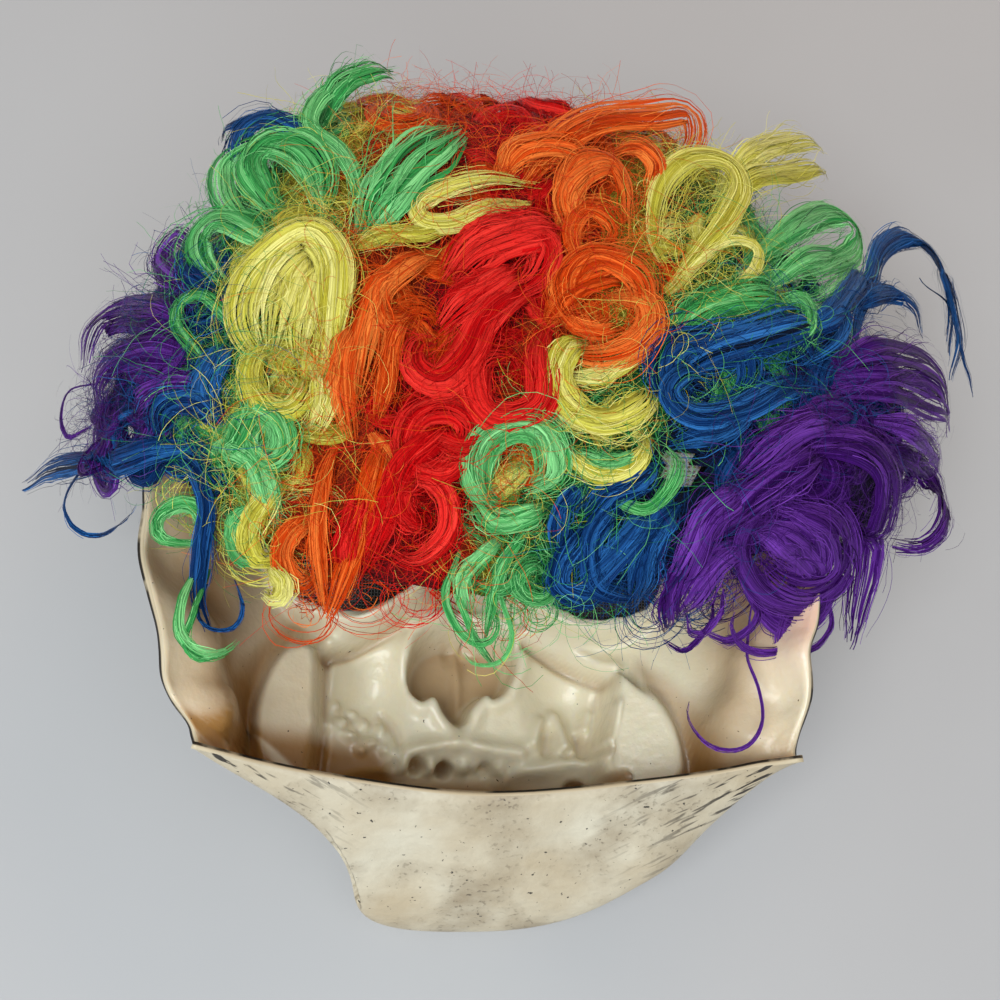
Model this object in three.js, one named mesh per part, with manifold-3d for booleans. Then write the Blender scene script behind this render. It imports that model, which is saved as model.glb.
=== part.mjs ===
// A soft vinyl clown mask with a curly rainbow wig, lying face down with its open back up.
// Millimetres. +X is the right of the open back, +Y runs from the chin to the crown, +Z is up.
// The tables are written with x = 0 on the face's midline, y = 0 near the eye line and z = 0 where the
// face would end if nothing pressed it flat. The finished group is moved so that its origin is at the
// centre of its footprint, on the floor.
import * as THREE from "three";
import { mergeVertices } from "three/addons/utils/BufferGeometryUtils.js";
import Module from "manifold-3d";

const wasm = await Module();
wasm.setup();

// Driving dimensions
const SHELL_WALL = 2.0; // vinyl wall of the mask
const STEEPEST_WALL = 1.6; // most that the wall is thickened where the relief is steep
const STEEP_SIDE = { none: 0.3, full: 0.6 }; // the wall's upward tilt where relief starts and is full
const FLATTENED = 3.0; // how far the soft chin and forehead are pressed flat by the floor
const RIM_SKEW = 5.0; // the soft shell leans, so both rims sit this far to the right of the face
const SHELL_COLUMNS = 34;
const SHELL_CROWDING = 0.4; // how much closer the columns stand on the face than on the sides

const EYE_X = 41.0; // from the midline to the middle of each eye hole
const EYE_Y = 3.0;
const EYE_HOLE = { rx: 22.0, ry: 15.0 };
const EYE_SIDES = 12; // for each half turn
const SOCKET = { rx: 32.0, ry: 23.0, edge: 0.25 };
const SOCKET_FLOOR_Z = 42.0; // outer face of the flat floor that the eye hole is cut in
const EYE_MESH_WALL = 0.8;
const EYE_CUT_REACH = 12.0; // how far an eye hole's cutter reaches on both sides of the floor
const SEAT_GAP = 0.35; // clearance round the glued eye mesh

const CAP_WALL = 1.4; // net foundation of the wig
const MAT_GAP = 0.4; // clearance between the net and the mats of hair
const CAP_COLUMNS = 16;
const CAP_ROWS = 12;
const PANEL_SPAN = 0.14; // widest flat panel of a stripe of hair, as a share of the way across
const RIM_DROOP = 0.5; // slope of the hair that falls over the rims
const WIG_LEAN = 0.4; // how far the hair on the crown leans to the right
const NAPE_FALL = { from: 0.8, full: 1.1 }; // where the hair starts to fall over the nape, and is flat
const HAIR_LUMPS = 0.08; // share of the hair's depth that its curls make it uneven by

const LOCK_SIDES = 5;
const LOCK_ROOT = 4.0; // how deep a lock's root is sunk in its mat
const LOCK_SPREAD = 1.5; // a lock's breadth for each unit of its thickness
const TIP_SHARE = 0.5; // size of a lock's tip
const CURL_STEP = 54; // degrees between the points of a curl
const CURL_FILL = 0.8; // most of a curl's radius that the lock's half breadth takes up
const CURL_TIGHTENING = 0.35; // share of its radius that a curl loses towards its tip
const LOOP_RISE = 0.3; // height of a lying loop's middle over its mat, for each unit of its thickness

const { lerp, smoothstep, degToRad } = THREE.MathUtils;

// Sections of the mask's outer skin, from the hairline down the face and back under the chin.
// Each row gives a point on the midline (y, z), one halfway to the side and one on the side rim
// (x, y, z), and where it isn't 2, how many rows of facets there are from it to the next section. dent
// is how far the soft left side of the jaw is pushed in, and bow how far the left rim bows outwards.
const MASK_SECTIONS = [
  { name: "hairline", mid: [97, 47], half: [48, 89, 56], side: [86, 60, 79] },
  { name: "forehead_top", mid: [90, 11], half: [52, 81, 29], side: [91, 50, 80] },
  { name: "forehead", mid: [72, 1], half: [55, 64, 18], side: [95, 41, 81], bow: 1.5 },
  { name: "brow", mid: [34, 8], half: [57, 32, 20], side: [98, 31, 82], bow: 4.5 },
  { name: "eye_line", mid: [4, 20], half: [58, 6, 30], side: [99, 16, 83.5], rows: 3, bow: 8 },
  { name: "under_eye", mid: [-14, 25], half: [58, -10, 34], side: [98, 4, 84.5], rows: 3, bow: 7.7 },
  { name: "nose_middle", mid: [-28, 27], half: [57, -24, 36], side: [97, -8, 85], rows: 3, bow: 7.6 },
  { name: "nose_base", mid: [-42, 27], half: [56, -38, 37], side: [95, -20, 85], rows: 3, bow: 7.2 },
  { name: "upper_lip", mid: [-55, 25], half: [54, -50, 37], side: [93, -29, 84.5], rows: 3, bow: 6.8 },
  { name: "mouth", mid: [-68, 20], half: [51, -62, 36], side: [91.5, -36, 84], bow: 6.4 },
  { name: "lower_lip", mid: [-82, 10], half: [48, -74, 33], side: [90, -43, 82.5], dent: 6, bow: 5.4 },
  { name: "chin_front", mid: [-97, 0], half: [44, -90, 20], side: [88.5, -50, 79], dent: 16, bow: 4 },
  { name: "chin_crease", mid: [-108, 9], half: [45, -99, 27], side: [87.5, -57, 76], dent: 20, bow: 1.5 },
  { name: "under_chin", mid: [-97, 35], half: [45, -89, 45], side: [87, -61, 77.5], dent: 12 },
  { name: "neck_edge", mid: [-72, 70], half: [46, -68, 73], side: [87, -62, 81.5], rows: 0 },
];
const CHIN_FRONT = 11; // row of the chin's front: the face's relief fades out in the row after it

// Relief of the face. push is how far a feature moves the wall towards the wearer, so a negative
// push stands out of the face and is a hollow inside. edge is the share of the feature that slopes.
const FACE_RELIEF = [
  { name: "forehead_boss", x: 30, y: 73, rx: 32, ry: 26, push: -10, edge: 0.7, pair: true },
  { name: "brow_ridge", x: 34, y: 30, rx: 30, ry: 9, push: -4, edge: 0.7, pair: true },
  { name: "nose_bridge", x: 0, y: -4, rx: 10, ry: 24, push: -5, edge: 0.7, pair: false },
  { name: "nose_ball", x: 0, y: -27, rx: 20, ry: 15, push: -16, edge: 0.55, pair: false },
  { name: "nose_septum", x: 0, y: -39, rx: 8, ry: 9, push: -6, edge: 0.7, pair: false },
  { name: "cheek", x: 33, y: -36, rx: 17, ry: 20, push: -9, edge: 0.6, pair: true },
  { name: "smile_fold", x: 56, y: -44, rx: 13, ry: 26, push: 10, edge: 0.6, pair: true },
  { name: "gum", x: 0, y: -52, rx: 32, ry: 7, push: 3, edge: 0.7, pair: false },
  { name: "teeth_row", x: 0, y: -65, rx: 40, ry: 9, push: -6, edge: 0.6, pair: false },
  { name: "chin_corner", x: 21, y: -100, rx: 14, ry: 12, push: -4, edge: 0.6, pair: true },
];

// Sections of the inside of the wig's net, from the mask's hairline round the crown to the nape, with
// the depth of the mat of hair over each, on the midline, at the left rim and at the right rim. bow is
// as above.
const CAP_SECTIONS = [
  { name: "hairline", mid: [98, 50], half: [48.5, 90, 58.5], side: [86, 60, 81.5], hair: [8, 8, 10] },
  { name: "front", mid: [124, 58], half: [52, 112, 67], side: [90, 55, 82.5], hair: [22, 18, 30], bow: 0.3 },
  { name: "crown", mid: [138, 78], half: [55, 122, 84], side: [93, 49, 83.5], hair: [32, 24, 46], bow: 0.8 },
  { name: "rear", mid: [124, 98], half: [57, 108, 98], side: [96, 43, 84.5], hair: [14, 24, 50], bow: 1.6 },
  { name: "back", mid: [80, 105], half: [59, 72, 103], side: [98, 37, 85.5], hair: [8, 24, 46], bow: 2.5 },
  { name: "low_back", mid: [30, 102], half: [59, 28, 101], side: [99.5, 30, 86], hair: [8, 18, 36], bow: 4 },
  { name: "nape", mid: [-10, 91], half: [57, 0, 92], side: [100.5, 24, 86.5], hair: [11, 12, 22], bow: 5 },
];

// The stripes of hair, in order from the left rim to the right. crown and nape are the right edge of
// the stripe at the hairline and at the nape, as a share of the way across the net, where -1 is the
// left rim and 1 the right. Its strip lies on the net's rows from first to last.
const STRIPES = [
  { name: "hair_purple_left", colour: "#3d1272", crown: -0.86, nape: -0.88, first: 1, last: 12 },
  { name: "hair_blue_left", colour: "#174f9c", crown: -0.72, nape: -0.76, first: 1, last: 12 },
  { name: "hair_green_left", colour: "#3fae55", crown: -0.46, nape: -0.66, first: 1, last: 12 },
  { name: "hair_yellow_left", colour: "#d8cf4a", crown: -0.22, nape: -0.54, first: 1, last: 12 },
  { name: "hair_orange_left", colour: "#d9541a", crown: -0.04, nape: -0.36, first: 1, last: 12 },
  { name: "hair_red", colour: "#c4161c", crown: 0.16, nape: -0.1, first: 1, last: 12 },
  { name: "hair_orange_right", colour: "#d9541a", crown: 0.36, nape: -0.05, first: 1, last: 9 },
  { name: "hair_yellow_right", colour: "#d8cf4a", crown: 0.54, nape: 0.0, first: 1, last: 10 },
  { name: "hair_green_right", colour: "#3fae55", crown: 0.7, nape: 0.25, first: 1, last: 12 },
  { name: "hair_blue_right", colour: "#174f9c", crown: 0.85, nape: 0.5, first: 1, last: 12 },
  { name: "hair_purple_right", colour: "#3d1272", crown: 1.0, nape: 1.0, first: 1, last: 12 },
];
const STRIPE_GAP = 0.008; // between neighbouring strips, as a share of the way across

// The main locks of each stripe. along is the root's place from the hairline (0) to the nape (1) and
// across its place over the stripe (0 to 1). A lock with no reach is a loop that lies on the mat.
// The others stand off it by reach and then curl. turn is how far a lock winds, in degrees.
const LOCKS = {
  hair_purple_left: [
    { along: 0.3, across: 0.5, reach: 14, r: 7, turn: 200, thick: 5 },
    { along: 0.5, across: 0.5, reach: 16, r: 7, turn: -200, thick: 5.5 },
    { along: 0.75, across: 0.5, reach: 22, r: 6, turn: 200, thick: 5 },
  ],
  hair_blue_left: [
    { along: 0.2, across: 0.5, reach: 18, r: 7, turn: 200, thick: 5 },
    { along: 0.62, across: 0.5, reach: 0, r: 5, turn: 270, thick: 3.5 },
    { along: 0.95, across: 0.7, reach: 14, r: 5, turn: -200, thick: 4 },
  ],
  hair_green_left: [
    { along: 0.22, across: 0.3, reach: 20, r: 7, turn: 200, thick: 5 },
    { along: 0.32, across: 0.7, reach: 18, r: 7, turn: -200, thick: 5 },
    { along: 0.56, across: 0.5, reach: 0, r: 7, turn: 270, thick: 4 },
    { along: 0.76, across: 0.5, reach: 0, r: 5, turn: -270, thick: 3.5 },
  ],
  hair_yellow_left: [
    { along: 0.3, across: 0.5, reach: 12, r: 6, turn: 200, thick: 5 },
    { along: 0.56, across: 0.45, reach: 0, r: 6.5, turn: -270, thick: 4 },
    { along: 0.74, across: 0.5, reach: 0, r: 5, turn: 270, thick: 3.5 },
    { along: 0.95, across: 0.5, reach: 14, r: 5, turn: 200, thick: 4 },
  ],
  hair_orange_left: [
    { along: 0.26, across: 0.5, reach: 10, r: 6, turn: -200, thick: 5 },
    { along: 0.56, across: 0.45, reach: 0, r: 6, turn: 270, thick: 4 },
    { along: 0.74, across: 0.5, reach: 0, r: 6, turn: -270, thick: 3.5 },
    { along: 0.95, across: 0.5, reach: 18, r: 5, turn: 200, thick: 4 },
  ],
  hair_red: [
    { along: 0.44, across: 0.5, reach: 0, r: 7, turn: 270, thick: 4.5 },
    { along: 0.58, across: 0.5, reach: 0, r: 8, turn: -270, thick: 4.5 },
    { along: 0.72, across: 0.5, reach: 0, r: 9, turn: 270, thick: 4.5 },
    { along: 0.85, across: 0.5, reach: 0, r: 8, turn: -270, thick: 4.5 },
    { along: 0.95, across: 0.5, reach: 8, r: 6, turn: 200, thick: 4.5 },
  ],
  hair_orange_right: [
    { along: 0.24, across: 0.5, reach: 18, r: 8, turn: 200, thick: 6 },
    { along: 0.46, across: 0.45, reach: 0, r: 6, turn: -270, thick: 4 },
    { along: 0.62, across: 0.45, reach: 0, r: 4.5, turn: 270, thick: 3.5 },
  ],
  hair_yellow_right: [
    { along: 0.25, across: 0.6, reach: 26, r: 8, turn: -200, thick: 6 },
    { along: 0.46, across: 0.4, reach: 0, r: 5, turn: 270, thick: 4 },
    { along: 0.7, across: 0.5, reach: 0, r: 4, turn: -270, thick: 3 },
  ],
  hair_green_right: [
    { along: 0.28, across: 0.5, reach: 18, r: 7, turn: 200, thick: 6 },
    { along: 0.52, across: 0.55, reach: 0, r: 7, turn: -270, thick: 4.5 },
    { along: 0.74, across: 0.5, reach: 0, r: 8, turn: 270, thick: 4.5 },
    { along: 0.95, across: 0.4, reach: 10, r: 6, turn: 200, thick: 5 },
  ],
  hair_blue_right: [
    { along: 0.3, across: 0.5, reach: 26, r: 8, turn: 200, thick: 6 },
    { along: 0.48, across: 0.5, reach: 0, r: 8, turn: 270, thick: 4.5 },
    { along: 0.72, across: 0.5, reach: 0, r: 9, turn: -270, thick: 4.5 },
    { along: 0.95, across: 0.5, reach: 8, r: 6, turn: 200, thick: 5 },
  ],
  hair_purple_right: [
    { along: 0.36, across: 0.6, reach: 8, r: 8, turn: -200, thick: 6 },
    { along: 0.56, across: 0.7, reach: 8, r: 8, turn: 200, thick: 6 },
    { along: 0.7, across: 0.3, reach: 0, r: 10, turn: 270, thick: 5 },
    { along: 0.86, across: 0.75, reach: 16, r: 8, turn: 200, thick: 6 },
    { along: 0.95, across: 0.3, reach: 10, r: 6, turn: 200, thick: 5 },
  ],
};

// A Catmull-Rom spline through evenly spaced values; t counts in spans from the first value.
function spline(values, t) {
  const last = values.length - 1;
  const span = Math.min(Math.max(Math.floor(t), 0), last - 1);
  const f = t - span;
  const at = (i) => {
    if (i < 0) return 2 * values[0] - values[1];
    if (i > last) return 2 * values[last] - values[last - 1];
    return values[i];
  };
  const [a, b, c, d] = [at(span - 1), at(span), at(span + 1), at(span + 2)];
  return b + 0.5 * f * (c - a + f * (2 * a - 5 * b + 4 * c - d + f * (3 * (b - c) + d - a)));
}

// A smooth curve through three values at w = 0, 0.5 and 1 that leaves the first at a given slope.
function throughThree(start, middle, end, startSlope, w) {
  const bend = (end - start) / 2;
  const inner = w < 0.5;
  const t = inner ? 2 * w : 2 * w - 1;
  const [from, to] = inner ? [start, middle] : [middle, end];
  const [slope, endSlope] = inner ? [startSlope, bend] : [bend, end - middle];
  const blend = t * t * (3 - 2 * t);
  return lerp(from, to, blend) + t * (1 - t) * ((1 - t) * slope - t * endSlope);
}

// One section's point. across runs from -1 on the left rim to 1 on the right.
function sectionPoint({ mid, half, side, dent = 0, bow = 0 }, across) {
  const w = Math.abs(across);
  const x = throughThree(0, half[0], side[0], half[0], w);
  const y = throughThree(mid[0], half[1], side[1], 0, w);
  const z = throughThree(mid[1], half[2], side[2], 0, w);
  const pushedIn = across < 0 ? dent * Math.sin(Math.PI * w * w) ** 2 - bow * w * w : 0;
  return [Math.sign(across) * x + RIM_SKEW * w * w + pushedIn, y, z];
}

// A point of the sheet that runs through all the sections. along goes from 0 to 1.
function sheetPoint(sections, across, along) {
  const points = sections.map((section) => sectionPoint(section, across));
  const t = along * (sections.length - 1);
  const [x, y, z] = [0, 1, 2].map((axis) => spline(points.map((point) => point[axis]), t));
  return new THREE.Vector3(x, y, z);
}

// The sheet's normal on the side that faces up.
function sheetNormal(sections, across, along) {
  const step = 0.004;
  const left = sheetPoint(sections, across - step, along);
  const right = sheetPoint(sections, across + step, along);
  const before = sheetPoint(sections, across, along - step);
  const after = sheetPoint(sections, across, along + step);
  return after.sub(before).cross(right.sub(left)).normalize();
}

// A closed solid between two grids of points, the upper one on the side that faces up. Both are
// functions of a column and a row.
function solidBetween(columns, rows, lower, upper) {
  const positions = [];
  const index = [];
  const stride = columns + 1;
  const layer = stride * (rows + 1);
  for (const surface of [lower, upper]) {
    for (let row = 0; row <= rows; row += 1) {
      for (let column = 0; column <= columns; column += 1) {
        positions.push(...surface(column, row).toArray());
      }
    }
  }
  const quad = (a, b, c, d) => index.push(a, b, c, a, c, d);
  for (let row = 0; row < rows; row += 1) {
    for (let column = 0; column < columns; column += 1) {
      const a = row * stride + column;
      quad(a, a + 1, a + 1 + stride, a + stride);
      quad(layer + a, layer + a + stride, layer + a + 1 + stride, layer + a + 1);
    }
    const left = row * stride;
    const right = left + columns;
    quad(left, left + stride, layer + left + stride, layer + left);
    quad(right, layer + right, layer + right + stride, right + stride);
  }
  const bottom = rows * stride;
  for (let column = 0; column < columns; column += 1) {
    const end = bottom + column;
    quad(column, layer + column, layer + column + 1, column + 1);
    quad(end, end + 1, layer + end + 1, layer + end);
  }
  const geometry = new THREE.BufferGeometry();
  geometry.setAttribute("position", new THREE.Float32BufferAttribute(positions, 3));
  geometry.setIndex(index);
  return geometry;
}

function toManifold(geometry) {
  const bare = geometry.clone();
  bare.deleteAttribute("normal");
  bare.deleteAttribute("uv");
  const merged = mergeVertices(bare, 1e-4);
  const vertProperties = new Float32Array(merged.getAttribute("position").array);
  const triVerts = new Uint32Array(merged.getIndex().array);
  return new wasm.Manifold(new wasm.Mesh({ numProp: 3, vertProperties, triVerts }));
}

function toGeometry(manifold) {
  const mesh = manifold.getMesh();
  const geometry = new THREE.BufferGeometry();
  geometry.setAttribute("position", new THREE.BufferAttribute(new Float32Array(mesh.vertProperties), 3));
  geometry.setIndex(new THREE.BufferAttribute(new Uint32Array(mesh.triVerts), 1));
  return geometry;
}

// 1 inside an ellipse, falling smoothly to 0 at its border over the share called edge.
function ellipseWeight(x, y, { rx, ry, edge }) {
  const distance = Math.hypot(x / rx, y / ry);
  return 1 - smoothstep(distance, 1 - edge, 1);
}

// How far the face's features push the wall towards the wearer at (x, y).
function reliefAt(x, y) {
  return FACE_RELIEF.reduce((sum, feature) => {
    const sideways = feature.pair ? Math.abs(x) : x;
    return sum + feature.push * ellipseWeight(sideways - feature.x, y - feature.y, feature);
  }, 0);
}

// The mask's outer skin at (across, along) and the point of its inside opposite. Features are raised
// only where the wall faces up or down, not on the steep sides.
function maskWall(across, along) {
  const base = sheetPoint(MASK_SECTIONS, across, along);
  const normal = sheetNormal(MASK_SECTIONS, across, along);
  const row = along * (MASK_SECTIONS.length - 1);
  const beforeChin = 1 - smoothstep(row, CHIN_FRONT, CHIN_FRONT + 1);
  const onFace = beforeChin * smoothstep(normal.z, STEEP_SIDE.none, STEEP_SIDE.full);
  const { x, y } = base;
  const skin = base.clone().addScaledVector(normal, onFace * reliefAt(x, y));
  const socket = onFace * ellipseWeight(Math.abs(x) - EYE_X, y - EYE_Y, SOCKET);
  skin.lerp(new THREE.Vector3(x, y, SOCKET_FLOOR_Z), socket);
  skin.z = Math.max(skin.z, FLATTENED);
  const acrossSlope = (reliefAt(x + 1, y) - reliefAt(x - 1, y)) / 2;
  const alongSlope = (reliefAt(x, y + 1) - reliefAt(x, y - 1)) / 2;
  const thicker = Math.min(Math.hypot(1, onFace * acrossSlope, onFace * alongSlope), STEEPEST_WALL);
  const up = normal.lerp(new THREE.Vector3(0, 0, 1), socket).normalize();
  return { skin, inside: skin.clone().addScaledVector(up, SHELL_WALL * thicker) };
}

// An upright elliptical plate, or the cutter of an eye hole.
function eyePlate(side, { rx, ry }, bottom, top) {
  const outline = new THREE.Shape().absellipse(0, 0, rx, ry, 0, 2 * Math.PI);
  const settings = { depth: top - bottom, bevelEnabled: false, curveSegments: EYE_SIDES };
  const plate = new THREE.ExtrudeGeometry(outline, settings);
  return plate.translate(side * EYE_X, EYE_Y, bottom);
}

function maskShell() {
  const spans = MASK_SECTIONS.length - 1;
  const alongs = MASK_SECTIONS.flatMap(({ rows = 2 }, section) =>
    Array.from({ length: rows }, (_, row) => (section + row / rows) / spans),
  );
  alongs.push(1);
  const grid = alongs.map((along) =>
    Array.from({ length: SHELL_COLUMNS + 1 }, (_, column) => {
      const t = (2 * column) / SHELL_COLUMNS - 1;
      return maskWall(t * (1 - SHELL_CROWDING + SHELL_CROWDING * t * t), along);
    }),
  );
  const skin = (column, row) => grid[row][column].skin;
  const inside = (column, row) => grid[row][column].inside;
  let shell = toManifold(solidBetween(SHELL_COLUMNS, alongs.length - 1, skin, inside));
  for (const side of [-1, 1]) {
    const [bottom, top] = [SOCKET_FLOOR_Z - EYE_CUT_REACH, SOCKET_FLOOR_Z + EYE_CUT_REACH];
    shell = shell.subtract(toManifold(eyePlate(side, EYE_HOLE, bottom, top)));
  }
  return toGeometry(shell);
}

// Dark mesh glued into an eye hole, halfway through the wall.
function eyeMesh(side) {
  const outline = { rx: EYE_HOLE.rx - SEAT_GAP, ry: EYE_HOLE.ry - SEAT_GAP };
  const bottom = SOCKET_FLOOR_Z + (SHELL_WALL - EYE_MESH_WALL) / 2;
  return eyePlate(side, outline, bottom, bottom + EYE_MESH_WALL);
}

// A point of the net at a height above its inside.
function overCap(across, along, height) {
  const normal = sheetNormal(CAP_SECTIONS, across, along);
  return sheetPoint(CAP_SECTIONS, across, along).addScaledVector(normal, height);
}

function wigCap() {
  const surface = (height) => (column, row) =>
    overCap((2 * column) / CAP_COLUMNS - 1, row / CAP_ROWS, height);
  return solidBetween(CAP_COLUMNS, CAP_ROWS, surface(0), surface(CAP_WALL));
}

// The left and right edge of a stripe at a place between the hairline and the nape.
function stripeEdges(place, along) {
  const edgeOf = ({ crown, nape }) => lerp(crown, nape, along);
  const left = place === 0 ? -1 : edgeOf(STRIPES[place - 1]);
  return [left + STRIPE_GAP / 2, edgeOf(STRIPES[place]) - STRIPE_GAP / 2];
}

// Which way the hair grows at a place on the net, and how deep its mat is there: it stands off the
// net, leans with the wig, falls over the rims and the nape, and is lumpy with curls.
function hairGrowth(across, along) {
  const step = 0.004;
  const down = overCap(across, along + step, 0).sub(overCap(across, along - step, 0)).normalize();
  const direction = sheetNormal(CAP_SECTIONS, across, along);
  direction.x += WIG_LEAN * Math.max(direction.y, 0);
  direction.lerp(new THREE.Vector3(Math.sign(across), 0, -RIM_DROOP), across ** 6);
  direction.lerp(down, smoothstep(along, NAPE_FALL.from, NAPE_FALL.full)).normalize();
  const depths = CAP_SECTIONS.map(({ hair }) => lerp(hair[0], hair[across < 0 ? 1 : 2], across ** 4));
  const smooth = spline(depths, along * (CAP_SECTIONS.length - 1));
  const lumps = HAIR_LUMPS * (1 - across ** 4) * Math.cos(Math.PI * along * CAP_ROWS);
  const depth = smooth * (1 + lumps);
  return { direction, down, depth };
}

// The mat of hair of one stripe, on the rows of the net that it covers.
function hairMat(place) {
  const { first, last } = STRIPES[place];
  const widths = [0, 1].map((along) => stripeEdges(place, along)).map(([left, right]) => right - left);
  const columns = Math.ceil(Math.max(...widths) / PANEL_SPAN);
  const surface = (share) => (column, row) => {
    const along = (first + row) / CAP_ROWS;
    const across = lerp(...stripeEdges(place, along), column / columns);
    const { direction, depth } = hairGrowth(across, along);
    return overCap(across, along, CAP_WALL + MAT_GAP).addScaledVector(direction, share * depth);
  };
  return solidBetween(columns, last - first, surface(0), surface(1));
}

// The points that a lock runs through from its root to its tip, each with the direction of the lock's
// breadth and the most that half of it can be there.
function lockPath(place, lock) {
  const across = lerp(...stripeEdges(place, lock.along), lock.across);
  const { direction, down, depth } = hairGrowth(across, lock.along);
  const sideways = direction.clone().cross(down).normalize();
  const along = sideways.clone().cross(direction).normalize();
  const lies = lock.reach === 0;
  const surface = overCap(across, lock.along, CAP_WALL + MAT_GAP).addScaledVector(direction, depth);
  const way = Math.sign(lock.turn);
  const steps = Math.ceil(Math.abs(lock.turn) / CURL_STEP);
  const path = [];
  const add = (origin, first, second, third, breadth) => {
    const point = origin.clone().addScaledVector(direction, first);
    point.addScaledVector(along, second).addScaledVector(sideways, third);
    path.push({ point, breadth, room: CURL_FILL * lock.r });
  };
  if (!lies) {
    add(surface, -LOCK_ROOT, 0, 0, sideways);
    add(surface, lock.reach / 2, 0, 0, sideways);
  }
  for (let step = lies ? -1 : 0; step <= steps; step += 1) {
    const share = step / steps;
    const angle = share * degToRad(lock.turn);
    const radius = lock.r * (1 - CURL_TIGHTENING * share);
    const [near, far] = [radius * Math.cos(angle), radius * Math.sin(angle)];
    if (lies) {
      const breadth = along.clone().multiplyScalar(far).addScaledVector(sideways, near).normalize();
      const height = step < 0 ? -LOCK_ROOT : LOOP_RISE * lock.thick;
      add(surface, height, far, near, breadth.multiplyScalar(way));
    } else {
      add(surface, lock.reach + Math.abs(far), way * (lock.r - near), 0, sideways);
    }
  }
  return path;
}

// A lock: a closed flat tube that is fullest in its middle and thin at its tip.
function lockTube(path, thick) {
  const positions = [];
  const index = [];
  const last = path.length - 1;
  path.forEach(({ point, breadth, room }, step) => {
    const before = path[Math.max(step - 1, 0)].point;
    const after = path[Math.min(step + 1, last)].point;
    const tangent = after.clone().sub(before).normalize();
    const outwards = tangent.clone().cross(breadth).normalize();
    const fullness = (0.75 + 0.25 * Math.sin((Math.PI * step) / last)) * (step === last ? TIP_SHARE : 1);
    const half = Math.min(thick * LOCK_SPREAD, room) * fullness;
    for (let side = 0; side < LOCK_SIDES; side += 1) {
      const angle = (2 * Math.PI * side) / LOCK_SIDES;
      const corner = point.clone().addScaledVector(breadth, half * Math.cos(angle));
      positions.push(...corner.addScaledVector(outwards, thick * fullness * Math.sin(angle)).toArray());
    }
  });
  for (let step = 0; step < last; step += 1) {
    for (let side = 0; side < LOCK_SIDES; side += 1) {
      const a = step * LOCK_SIDES + side;
      const b = step * LOCK_SIDES + ((side + 1) % LOCK_SIDES);
      index.push(a, b, b + LOCK_SIDES, a, b + LOCK_SIDES, a + LOCK_SIDES);
    }
  }
  const tip = last * LOCK_SIDES;
  for (let side = 1; side < LOCK_SIDES - 1; side += 1) {
    index.push(0, side + 1, side, tip, tip + side, tip + side + 1);
  }
  const geometry = new THREE.BufferGeometry();
  geometry.setAttribute("position", new THREE.Float32BufferAttribute(positions, 3));
  geometry.setIndex(index);
  return geometry;
}

// A stripe of hair: its mat with all its locks.
function hairStripe(place) {
  const hair = LOCKS[STRIPES[place].name].reduce(
    (joined, lock) => joined.add(toManifold(lockTube(lockPath(place, lock), lock.thick))),
    toManifold(hairMat(place)),
  );
  return toGeometry(hair);
}

// Materials and assembly
function addPiece(group, name, geometry, colour, roughness) {
  const faceted = geometry.index ? geometry.toNonIndexed() : geometry;
  faceted.computeVertexNormals();
  const material = new THREE.MeshStandardMaterial({ color: colour, roughness, metalness: 0 });
  const mesh = new THREE.Mesh(faceted, material);
  mesh.name = name;
  group.add(mesh);
}

const mask = new THREE.Group();
addPiece(mask, "mask_shell", maskShell(), "#d6cfb2", 0.35);
addPiece(mask, "eye_mesh_left", eyeMesh(-1), "#15110d", 0.8);
addPiece(mask, "eye_mesh_right", eyeMesh(1), "#15110d", 0.8);
addPiece(mask, "wig_cap", wigCap(), "#b9b7b2", 0.9);
STRIPES.forEach(({ name, colour }, place) => addPiece(mask, name, hairStripe(place), colour, 0.4));

const box = new THREE.Box3().setFromObject(mask);
const middle = box.getCenter(new THREE.Vector3());
mask.position.set(-middle.x, -middle.y, -box.min.z);
mask.updateMatrixWorld(true);

export default mask;
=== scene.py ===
import bpy
import numpy as np
from mathutils import Matrix, Vector


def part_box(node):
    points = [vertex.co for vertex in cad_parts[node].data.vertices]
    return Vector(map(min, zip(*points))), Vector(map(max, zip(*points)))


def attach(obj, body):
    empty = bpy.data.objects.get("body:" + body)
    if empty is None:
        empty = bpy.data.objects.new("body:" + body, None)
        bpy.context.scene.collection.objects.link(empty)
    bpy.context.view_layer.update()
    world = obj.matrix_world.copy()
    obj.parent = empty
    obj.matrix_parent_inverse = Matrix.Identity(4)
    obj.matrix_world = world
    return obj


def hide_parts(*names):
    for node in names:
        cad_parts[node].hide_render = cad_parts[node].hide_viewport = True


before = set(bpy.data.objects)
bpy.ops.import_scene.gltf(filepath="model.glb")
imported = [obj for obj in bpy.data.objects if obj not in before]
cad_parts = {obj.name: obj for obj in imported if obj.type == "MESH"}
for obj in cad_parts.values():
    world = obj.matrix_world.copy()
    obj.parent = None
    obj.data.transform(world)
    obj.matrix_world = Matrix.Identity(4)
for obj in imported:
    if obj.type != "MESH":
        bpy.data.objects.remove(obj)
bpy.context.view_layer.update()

# Camera: it looks down into the open back from above the chin, a little from the left. The eye meshes
# are symmetric about the midline, so they give the place of the tables' origin in the part.
EYE_MIDDLE = np.array([0, 3, 43])
CAMERA_PLACE = np.array([-49.7, -113.5, 432.2])
CAMERA_TARGET = np.array([6, 22, 60])
CAMERA_LENS = 45
eyes = (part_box("eye_mesh_left")[0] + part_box("eye_mesh_right")[1]) / 2
origin = np.array(eyes) * 1000 - EYE_MIDDLE


def to_part(points):
    """Places of the tables, in the part's frame and in metres."""
    return (np.asarray(points) + origin) / 1000


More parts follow.
